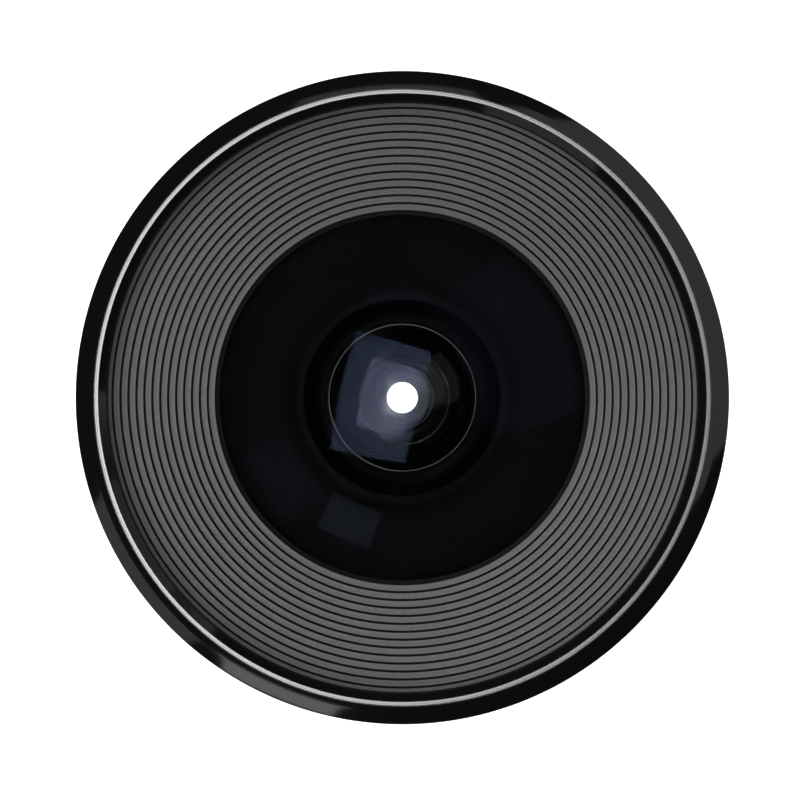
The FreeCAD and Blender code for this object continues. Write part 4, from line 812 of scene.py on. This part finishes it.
# %% Turn the second retainer
LIP_BORE, LIP_FOOT, LIP_RIM = 16.60, 16.90, 18.99
LIP_SEAT, LIP_LAND, LIP_TOP = 69.31, 70.47, 70.60
retainer_section = [
    (LIP_BORE, LIP_SEAT, 0),
    (LIP_RIM, LIP_SEAT, 0),
    (LIP_RIM, LIP_LAND, 0),
    (LIP_FOOT, LIP_LAND, 1),
    (LIP_BORE, LIP_TOP, 0),
]
finish = Finish("bare_lip")
BARE_LIP = finish.surface(Base_Color=(0.50, 0.50, 0.55, 1), Roughness=0.5)
lip = turned("second_retainer", retainer_section, [FINISHES["cell_black"], BARE_LIP])
stands_for(lip, "element_2_retainer")

# %% [markdown]
# ## Painted scales
#
# Focus and iris rings carry numbers that are cut in and filled with paint. Cutting them from the
# rings would need booleans on every figure. Here each figure is a text object turned into a mesh and
# wrapped round the axis, so that it is sunk in the surface and stands 0.015 mm proud of it, as thick
# paint does. The figures are plain distances and stops, in Blender's own font.

# %% Paints for the scales
finish = Finish("scale_white")
speckle = finish.grain(0.25)
PAINT_WHITE = finish.surface(Base_Color=speckle.mix(grey(0.62), grey(0.80)), Roughness=0.55)
finish = Finish("scale_amber")
speckle = finish.grain(0.25)
PAINT_AMBER = finish.surface(
    Base_Color=speckle.mix((0.62, 0.30, 0.03, 1), (0.80, 0.42, 0.05, 1)),
    Roughness=0.55,
)

# %% [markdown]
# A figure is wrapped point by point: the way along the baseline becomes an angle, the way up becomes
# height on the ring, and the thickness becomes distance from the axis. The focus ring's scale and
# the index ring are cones, so the distance from the axis is a function of the height.

# %% Wrap a flat mesh round the axis
PROUD = 0.015
SUNK = 0.035


def wrapped(name, flat, azimuth, bottom, radius_at, paint, body):
    """Bends a flat mesh (mm, thickness 0 to 1) onto the ring at an azimuth in degrees."""
    middle = radius_at(bottom)
    for vertex in flat.vertices:
        along, up, outward_share = vertex.co
        height = bottom + up
        radius = radius_at(height) - SUNK + (SUNK + PROUD) * outward_share
        angle = math.radians(azimuth) + along / middle
        vertex.co = (radius * math.cos(angle) * MM, radius * math.sin(angle) * MM, height * MM)
    flat.materials.clear()
    flat.materials.append(paint)
    piece = bpy.data.objects.new(name, flat)
    bpy.context.scene.collection.objects.link(piece)
    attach(piece, body)
    return piece


print("paint stands", PROUD, "mm proud")

# %% [markdown]
# A figure starts as a text object. A line is a box, cut across so that it bends along a cone. Both
# are made flat in millimetres, and their thickness runs from 0 to 1.


# %% Flat figures and lines
TICK_CUTS = 4


def figure(text, size):
    """A number as a flat mesh in millimetres, centred on its baseline, 0 to 1 in depth."""
    curve = bpy.data.curves.new("figure", "FONT")
    curve.body = text
    curve.size = size
    curve.align_x = "CENTER"
    curve.extrude = 0.5
    curve.resolution_u = 3
    holder = bpy.data.objects.new("figure", curve)
    mesh = bpy.data.meshes.new_from_object(holder)
    bpy.data.objects.remove(holder)
    for vertex in mesh.vertices:
        vertex.co.z += 0.5
    return mesh


def tick(width, length):
    """A scale line as a flat box in millimetres, cut across so that it can follow a cone."""
    mesh = bpy.data.meshes.new("tick")
    half = width / 2
    points = []
    for cut in range(TICK_CUTS + 1):
        up = length * cut / TICK_CUTS
        points += [(-half, up, 0), (half, up, 0), (half, up, 1), (-half, up, 1)]
    faces = [(3, 2, 1, 0), tuple(len(points) - 4 + corner for corner in range(4))]
    for low in range(0, TICK_CUTS * 4, 4):
        for side in range(4):
            following = (side + 1) % 4
            faces.append((low + side, low + following, low + 4 + following, low + 4 + side))
    mesh.from_pydata(points, [], faces)
    return mesh


print("a line has", TICK_CUTS, "lengths")

# %% [markdown]
# Three rings carry paint. Each is given by the height of its foot, its radius there, and how much
# it widens over which rise. The iris ring is a plain cylinder.


# %% Rings that carry paint
def cone(foot, foot_radius, rise, widening):
    """The radius of a ring as a function of the height. It widens by so much over the rise."""
    return lambda height: foot_radius + widening * (height - foot) / rise


focus_radius = cone(34.4, 46.0, 17.2, 3.5)
index_radius = cone(28.2, 43.6, 5.3, 1.9)
iris_radius = cone(22.0, 43.2, 6.0, 0.0)
print("scale radii at their feet:", focus_radius(34.4), index_radius(28.2), iris_radius(22.0))

# %% [markdown]
# The focus ring turns 300 degrees from infinity to the nearest distance, and its carriage moves in
# a straight ratio, so a distance lies at an angle that goes with one over the distance. The index
# line is at the top of the lens. Metres are white and feet amber, as on many such rings. A row of
# the scale has a height for the feet of its lines and one for its figures.

# %% Focus scale
INDEX_AZIMUTH = 90.0
UNIT_AZIMUTH = 70.0
FOCUS_TRAVEL = 300.0
NEAREST = 0.28
FOOT = 0.3048
METRE_ROW = (34.9, 37.4)
FEET_ROW = (42.0, 44.4)
TICK_WIDTH = 0.28
METRES = "5 3 2 1.5 1.2 1 0.8 0.7 0.6 0.5 0.45 0.4 0.35 0.3 0.28".split()
BETWEEN = (10, 7, 4, 2.5, 1.75, 1.35, 1.1, 0.9, 0.75, 0.65, 0.55, 0.475, 0.425, 0.375, 0.325)
FEET = "20 10 7 5 4 3 2.5 2 1.75 1.5 1.25 1".split()

focus_marks = [(label, float(label), METRE_ROW, 2.0, PAINT_WHITE, 2.9) for label in METRES]
focus_marks.append(("∞", math.inf, METRE_ROW, 2.0, PAINT_WHITE, 3.6))
focus_marks += [("", metres, METRE_ROW, 1.2, PAINT_WHITE, 0.0) for metres in BETWEEN]
focus_marks += [(label, float(label) * FOOT, FEET_ROW, 1.6, PAINT_AMBER, 2.6) for label in FEET]
focus_marks.append(("∞", math.inf, FEET_ROW, 1.6, PAINT_AMBER, 3.2))

for count, (label, metres, (foot, baseline), length, paint, size) in enumerate(focus_marks, 1):
    azimuth = INDEX_AZIMUTH + FOCUS_TRAVEL * NEAREST / metres
    line = tick(TICK_WIDTH, length)
    wrapped(f"focus_tick_{count}", line, azimuth, foot, focus_radius, paint, "focus")
    if label:
        digits = figure(label, size)
        wrapped(f"focus_figure_{count}", digits, azimuth, baseline, focus_radius, paint, "focus")
for word, baseline, paint in (("m", METRE_ROW[1], PAINT_WHITE), ("ft", FEET_ROW[1], PAINT_AMBER)):
    unit = figure(word, 2.4)
    wrapped("focus_unit_" + word, unit, UNIT_AZIMUTH, baseline, focus_radius, paint, "focus")
print("focus marks:", len(focus_marks))

# %% [markdown]
# The iris ring turns 48 degrees from wide open to the smallest stop, with even steps. The index ring
# between both scales stays still and carries the one line that both are read against.

# %% Iris scale and index line
IRIS_TRAVEL = 48.0
IRIS_BASELINE = 23.4
FIGURE_SIZE = 2.5
LETTER_AZIMUTH = 98.0
STOPS = ["2.1", "2.8", "4", "5.6", "8", "11", "16", "22"]
stop_step = IRIS_TRAVEL / (len(STOPS) - 1)


def iris_mark(name, flat, azimuth, foot, paint=PAINT_WHITE):
    """A line or a figure on the iris ring."""
    wrapped(name, flat, azimuth, foot, iris_radius, paint, "iris")


for number, stop in enumerate(STOPS):
    azimuth = INDEX_AZIMUTH - stop_step * number
    iris_mark(f"iris_tick_{number}", tick(TICK_WIDTH, 1.1), azimuth, 26.2)
    iris_mark(f"iris_figure_{number}", figure(stop, FIGURE_SIZE), azimuth, IRIS_BASELINE)
    if number:
        iris_mark(f"iris_half_{number}", tick(0.22, 0.7), azimuth + stop_step / 2, 26.6)
iris_mark("iris_letter", figure("T", FIGURE_SIZE), LETTER_AZIMUTH, IRIS_BASELINE, PAINT_AMBER)
wrapped("index_line", tick(0.36, 5.0), INDEX_AZIMUTH, 28.35, index_radius, PAINT_WHITE, "barrel")
print("stops:", len(STOPS))

# %% [markdown]
# ## The floor
#
# The photograph was taken on white. The lens stands on its mount on a wide white floor, which takes
# the lens's soft shadow. Its glow is only for rays that look at it, straight or in metal or glass,
# and not for the light that falls on the object. Metal would lose its edges against a floor as
# white as the background, so mirrored rays see it dimmer. Under the lens the glow fades into a
# painted shadow. Inside the mount it has a hole, so that a card below can shine up through the
# lens. That makes the white disc of the iris opening, and lights the rear glass when the lens is
# looked at from behind.

# %% Floor
FLOOR_HALF = 6.0
FLOOR_TONE = 0.55
FLOOR_GLOW = 1.05
MIRRORED_GLOW = 0.12
SHADE_FROM, SHADE_TO = 26.5, 57.0
SHADE_SHARE = 0.8
finish = Finish("floor_white")
path = finish.point.add("ShaderNodeLightPath")
# painted shadow under the lens: the glow fades between these two radii
under = (1 - (finish.radius - SHADE_FROM) / (SHADE_TO - SHADE_FROM)).clamp()
seen = path.out("Is Camera Ray") * (1 - under * SHADE_SHARE) + path.out("Is Transmission Ray")
shine = seen * FLOOR_GLOW + path.out("Is Glossy Ray") * MIRRORED_GLOW * (1 - under)
glow = seen.add("ShaderNodeEmission", {}, {"Color": shine, "Strength": 1.0})
white = seen.add("ShaderNodeBsdfDiffuse", {}, {"Color": grey(FLOOR_TONE)})
both = seen.add("ShaderNodeAddShader", {}, {0: glow, 1: white})
behind = seen.add("ShaderNodeNewGeometry", {}, {}, "Backfacing")
hole = finish.radius < SHADE_FROM
clear = seen.add("ShaderNodeBsdfTransparent")
either = seen.add("ShaderNodeMixShader", {}, {0: (behind + hole).clamp(), 1: both, 2: clear})
either.add("ShaderNodeOutputMaterial", {}, {"Surface": either})

sheet = bpy.data.meshes.new("floor")
corners = [(-1, -1), (1, -1), (1, 1), (-1, 1)]
points = [(x * FLOOR_HALF, y * FLOOR_HALF, cad_box[0][2]) for x, y in corners]
sheet.from_pydata(points, [], [(0, 1, 2, 3)])
sheet.materials.append(finish.material)
floor = bpy.data.objects.new("floor", sheet)
bpy.context.scene.collection.objects.link(floor)
print("floor at mm:", round(cad_box[0][2] / MM, 2))

# %% [markdown]
# ## The room
#
# Black objects are shaped by what they mirror, so the room matters more than the lamps' strength.
# The room is white from the floor up to just above the horizon and dark overhead. From the side the
# rings mirror the white, and from the front the glass and the collar mirror the dark ceiling with
# the lamps in it, as in the photograph. The camera itself sees white everywhere, and matte faces get
# an even light from all sides.

# %% World
AMBIENT = 0.20
CEILING = 0.02
WALL_FROM, WALL_TO = 0.06, 0.28
world = bpy.data.worlds.new("room")
bpy.context.scene.world = world
world.use_nodes = True
world.node_tree.nodes.clear()
start = Wire(world.node_tree, None)
direction = start.add("ShaderNodeTexCoord", {}, {}, "Generated")
rise = direction.add("ShaderNodeSeparateXYZ", {}, {0: direction}, "Z")
wall = rise.add("ShaderNodeMapRange", {"interpolation_type": "SMOOTHSTEP"}, {
    "Value": rise,
    "From Min": WALL_FROM,
    "From Max": WALL_TO,
    "To Min": 1.0,
    "To Max": CEILING,
})
path = rise.add("ShaderNodeLightPath")
camera_ray = path.out("Is Camera Ray")
mirrored = (path.out("Is Glossy Ray") + path.out("Is Transmission Ray")).clamp()
strength = camera_ray + (1 - camera_ray) * (mirrored * wall + (1 - mirrored) * AMBIENT)
background = rise.add("ShaderNodeBackground", {}, {"Color": (1, 1, 1, 1), "Strength": strength})
background.add("ShaderNodeOutputWorld", {}, {"Surface": background})
print("ambient light:", AMBIENT)

# %% [markdown]
# ## The lamps
#
# The main lamp is a large softbox overhead, turned a little, whose image lies in the glass as a
# leaning bright rectangle. Its cloth is brighter over the bulb, so a smaller and warmer lamp sits
# before it. Dimmer cards stand round the lens and draw the light stretches on the black collar and
# bezel. Glossy black needs strong lamps to show at all, and matte paint would burn out under them.
# A photographer balances that with flags. Here each lamp is either for what mirrors it or for what
# scatters it, which Blender's ray visibility gives directly. Directions and heights are taken from
# the plane of the front face.


# %% Three ways to hang a lamp
FACE = 88.3


def rectangle(name, place, size, radiance, mirrored=True):
    """A light with its brightness per area, for what mirrors it or else for what scatters it."""
    lamp = bpy.data.lights.new(name, "AREA")
    lamp.shape = "RECTANGLE"
    lamp.size, lamp.size_y = size
    lamp.energy = radiance * size[0] * size[1] * math.pi
    holder = bpy.data.objects.new(name, lamp)
    bpy.context.scene.collection.objects.link(holder)
    holder.location = place
    holder.visible_camera = False
    holder.visible_diffuse = not mirrored
    holder.visible_glossy = mirrored
    holder.visible_transmission = mirrored
    print("lamp:", name, "watts", round(lamp.energy, 2))
    return holder


def card(name, azimuth, zenith, distance, tall, wide, radiance, mirrored):
    """A card that faces the lens from a direction in degrees."""
    around, down = math.radians(azimuth), math.radians(zenith)
    flat = distance * math.sin(down)
    height = distance * math.cos(down) + FACE * MM
    place = (flat * math.cos(around), flat * math.sin(around), height)
    rectangle(name, place, (tall, wide), radiance, mirrored).rotation_euler = (0, down, around)


def softbox(name, height, centre, size, turn, tilt, radiance):
    """A light over the lens, with its centre and size as shares of its height."""
    place = (centre[0] * height, centre[1] * height, height + FACE * MM)
    lamp = rectangle(name, place, (size[0] * height, size[1] * height), radiance)
    lamp.rotation_euler = (0, math.radians(tilt), math.radians(turn))
    return lamp


# %% [markdown]
# The softbox and its core hang over the lens. The card under the hole in the floor faces up, and it
# is the one lamp that lights matte faces and mirrors alike, because it stands for the white table
# that the light of the room falls on.

# %% Softbox and card below
CORE_COLOUR = (1.0, 0.86, 0.80)
UNDER_DEPTH = 0.08
UNDER_SIZE = 0.24
softbox("main_softbox", 1.2, (-0.129, -0.012), (0.492, 0.741), -13.3, -13.0, 4.0)
core = softbox("softbox_core", 1.18, (-0.086, 0.0), (0.303, 0.42), -14.0, -13.0, 9.5)
core.data.color = CORE_COLOUR
below = (0, 0, cad_box[0][2] - UNDER_DEPTH)
under_card = rectangle("under_card", below, (UNDER_SIZE, UNDER_SIZE), 1.6)
under_card.rotation_euler = (math.pi, 0, 0)
under_card.visible_diffuse = True

# %% [markdown]
# Four equal strips near the horizon draw the long highlights on the rings when the lens is seen from
# the side. The other cards follow the photograph: each stands where the collar's bands, the bezel or
# the glass mirror it towards the camera, and the fills light the treads from the left and the top.
# A row gives a card's name, its azimuth and its angle from the axis in degrees, its distance, its
# length towards the axis, its width round it, and its brightness.

# %% Cards round the lens
STRIPS = [(f"side_strip_{turn}", turn, 88, 0.9, 0.24, 0.26, 1.8) for turn in (25, 115, 205, 295)]
MIRRORED_CARDS = [
    ("right_card", 25, 46, 1.0, 0.85, 0.98, 0.25),
    ("top_card", 93, 35.5, 1.0, 0.12, 0.36, 0.26),
    ("low_right_card", 28, 71, 1.0, 0.16, 0.40, 0.13),
    ("low_left_card", 247, 46.5, 1.0, 0.24, 0.30, 1.0),
    ("left_card", 214, 50, 1.0, 0.30, 0.42, 0.30),
    ("far_left_card", 242, 69, 1.0, 0.25, 0.40, 0.18),
]
FILL_CARDS = [
    ("fill_upper_left", 120, 52, 0.70, 0.25, 0.60, 3.3),
    ("fill_left", 180, 52, 0.70, 0.25, 0.45, 5.7),
    ("fill_lower_left", 240, 52, 0.70, 0.25, 0.60, 5.9),
    ("fill_top", 75, 66, 0.70, 0.15, 0.60, 9.6),
]
for row in STRIPS + MIRRORED_CARDS:
    card(*row, mirrored=True)
for row in FILL_CARDS:
    card(*row, mirrored=False)

# %% [markdown]
# ## The camera
#
# The photograph is square and shows the lens straight from the front, from far enough away that
# no side wall is seen. A long lens two metres away gives the same view, and its focal length
# follows from the width of the picture at the plane of the front face.

# %% Camera
DISTANCE = 2.0
VIEW_WIDTH = 0.13952
OFF_AXIS = -0.00041
SENSOR = 36.0
camera = bpy.data.objects.new("camera", bpy.data.cameras.new("camera"))
camera.data.sensor_width = SENSOR
camera.data.lens = SENSOR * (DISTANCE - FACE * MM) / VIEW_WIDTH
camera.data.clip_end = 50.0
camera.location = (OFF_AXIS, OFF_AXIS, DISTANCE)
bpy.context.scene.collection.objects.link(camera)
bpy.context.scene.camera = camera
print("focal length:", round(camera.data.lens, 1))

# %% [markdown]
# ## Light paths and colour
#
# A ray crosses eighteen glass faces and may turn back at any of them, so it is allowed more turns
# than usual before it is given up. Colours are shown as they are, with the Standard view.

# %% Render settings that belong to the scene
scene = bpy.context.scene
scene.view_settings.view_transform = "Standard"
scene.cycles.max_bounces = 32
scene.cycles.transmission_bounces = 32
scene.cycles.glossy_bounces = 8
scene.cycles.diffuse_bounces = 4
scene.cycles.transparent_max_bounces = 16
print("bounces:", scene.cycles.max_bounces)
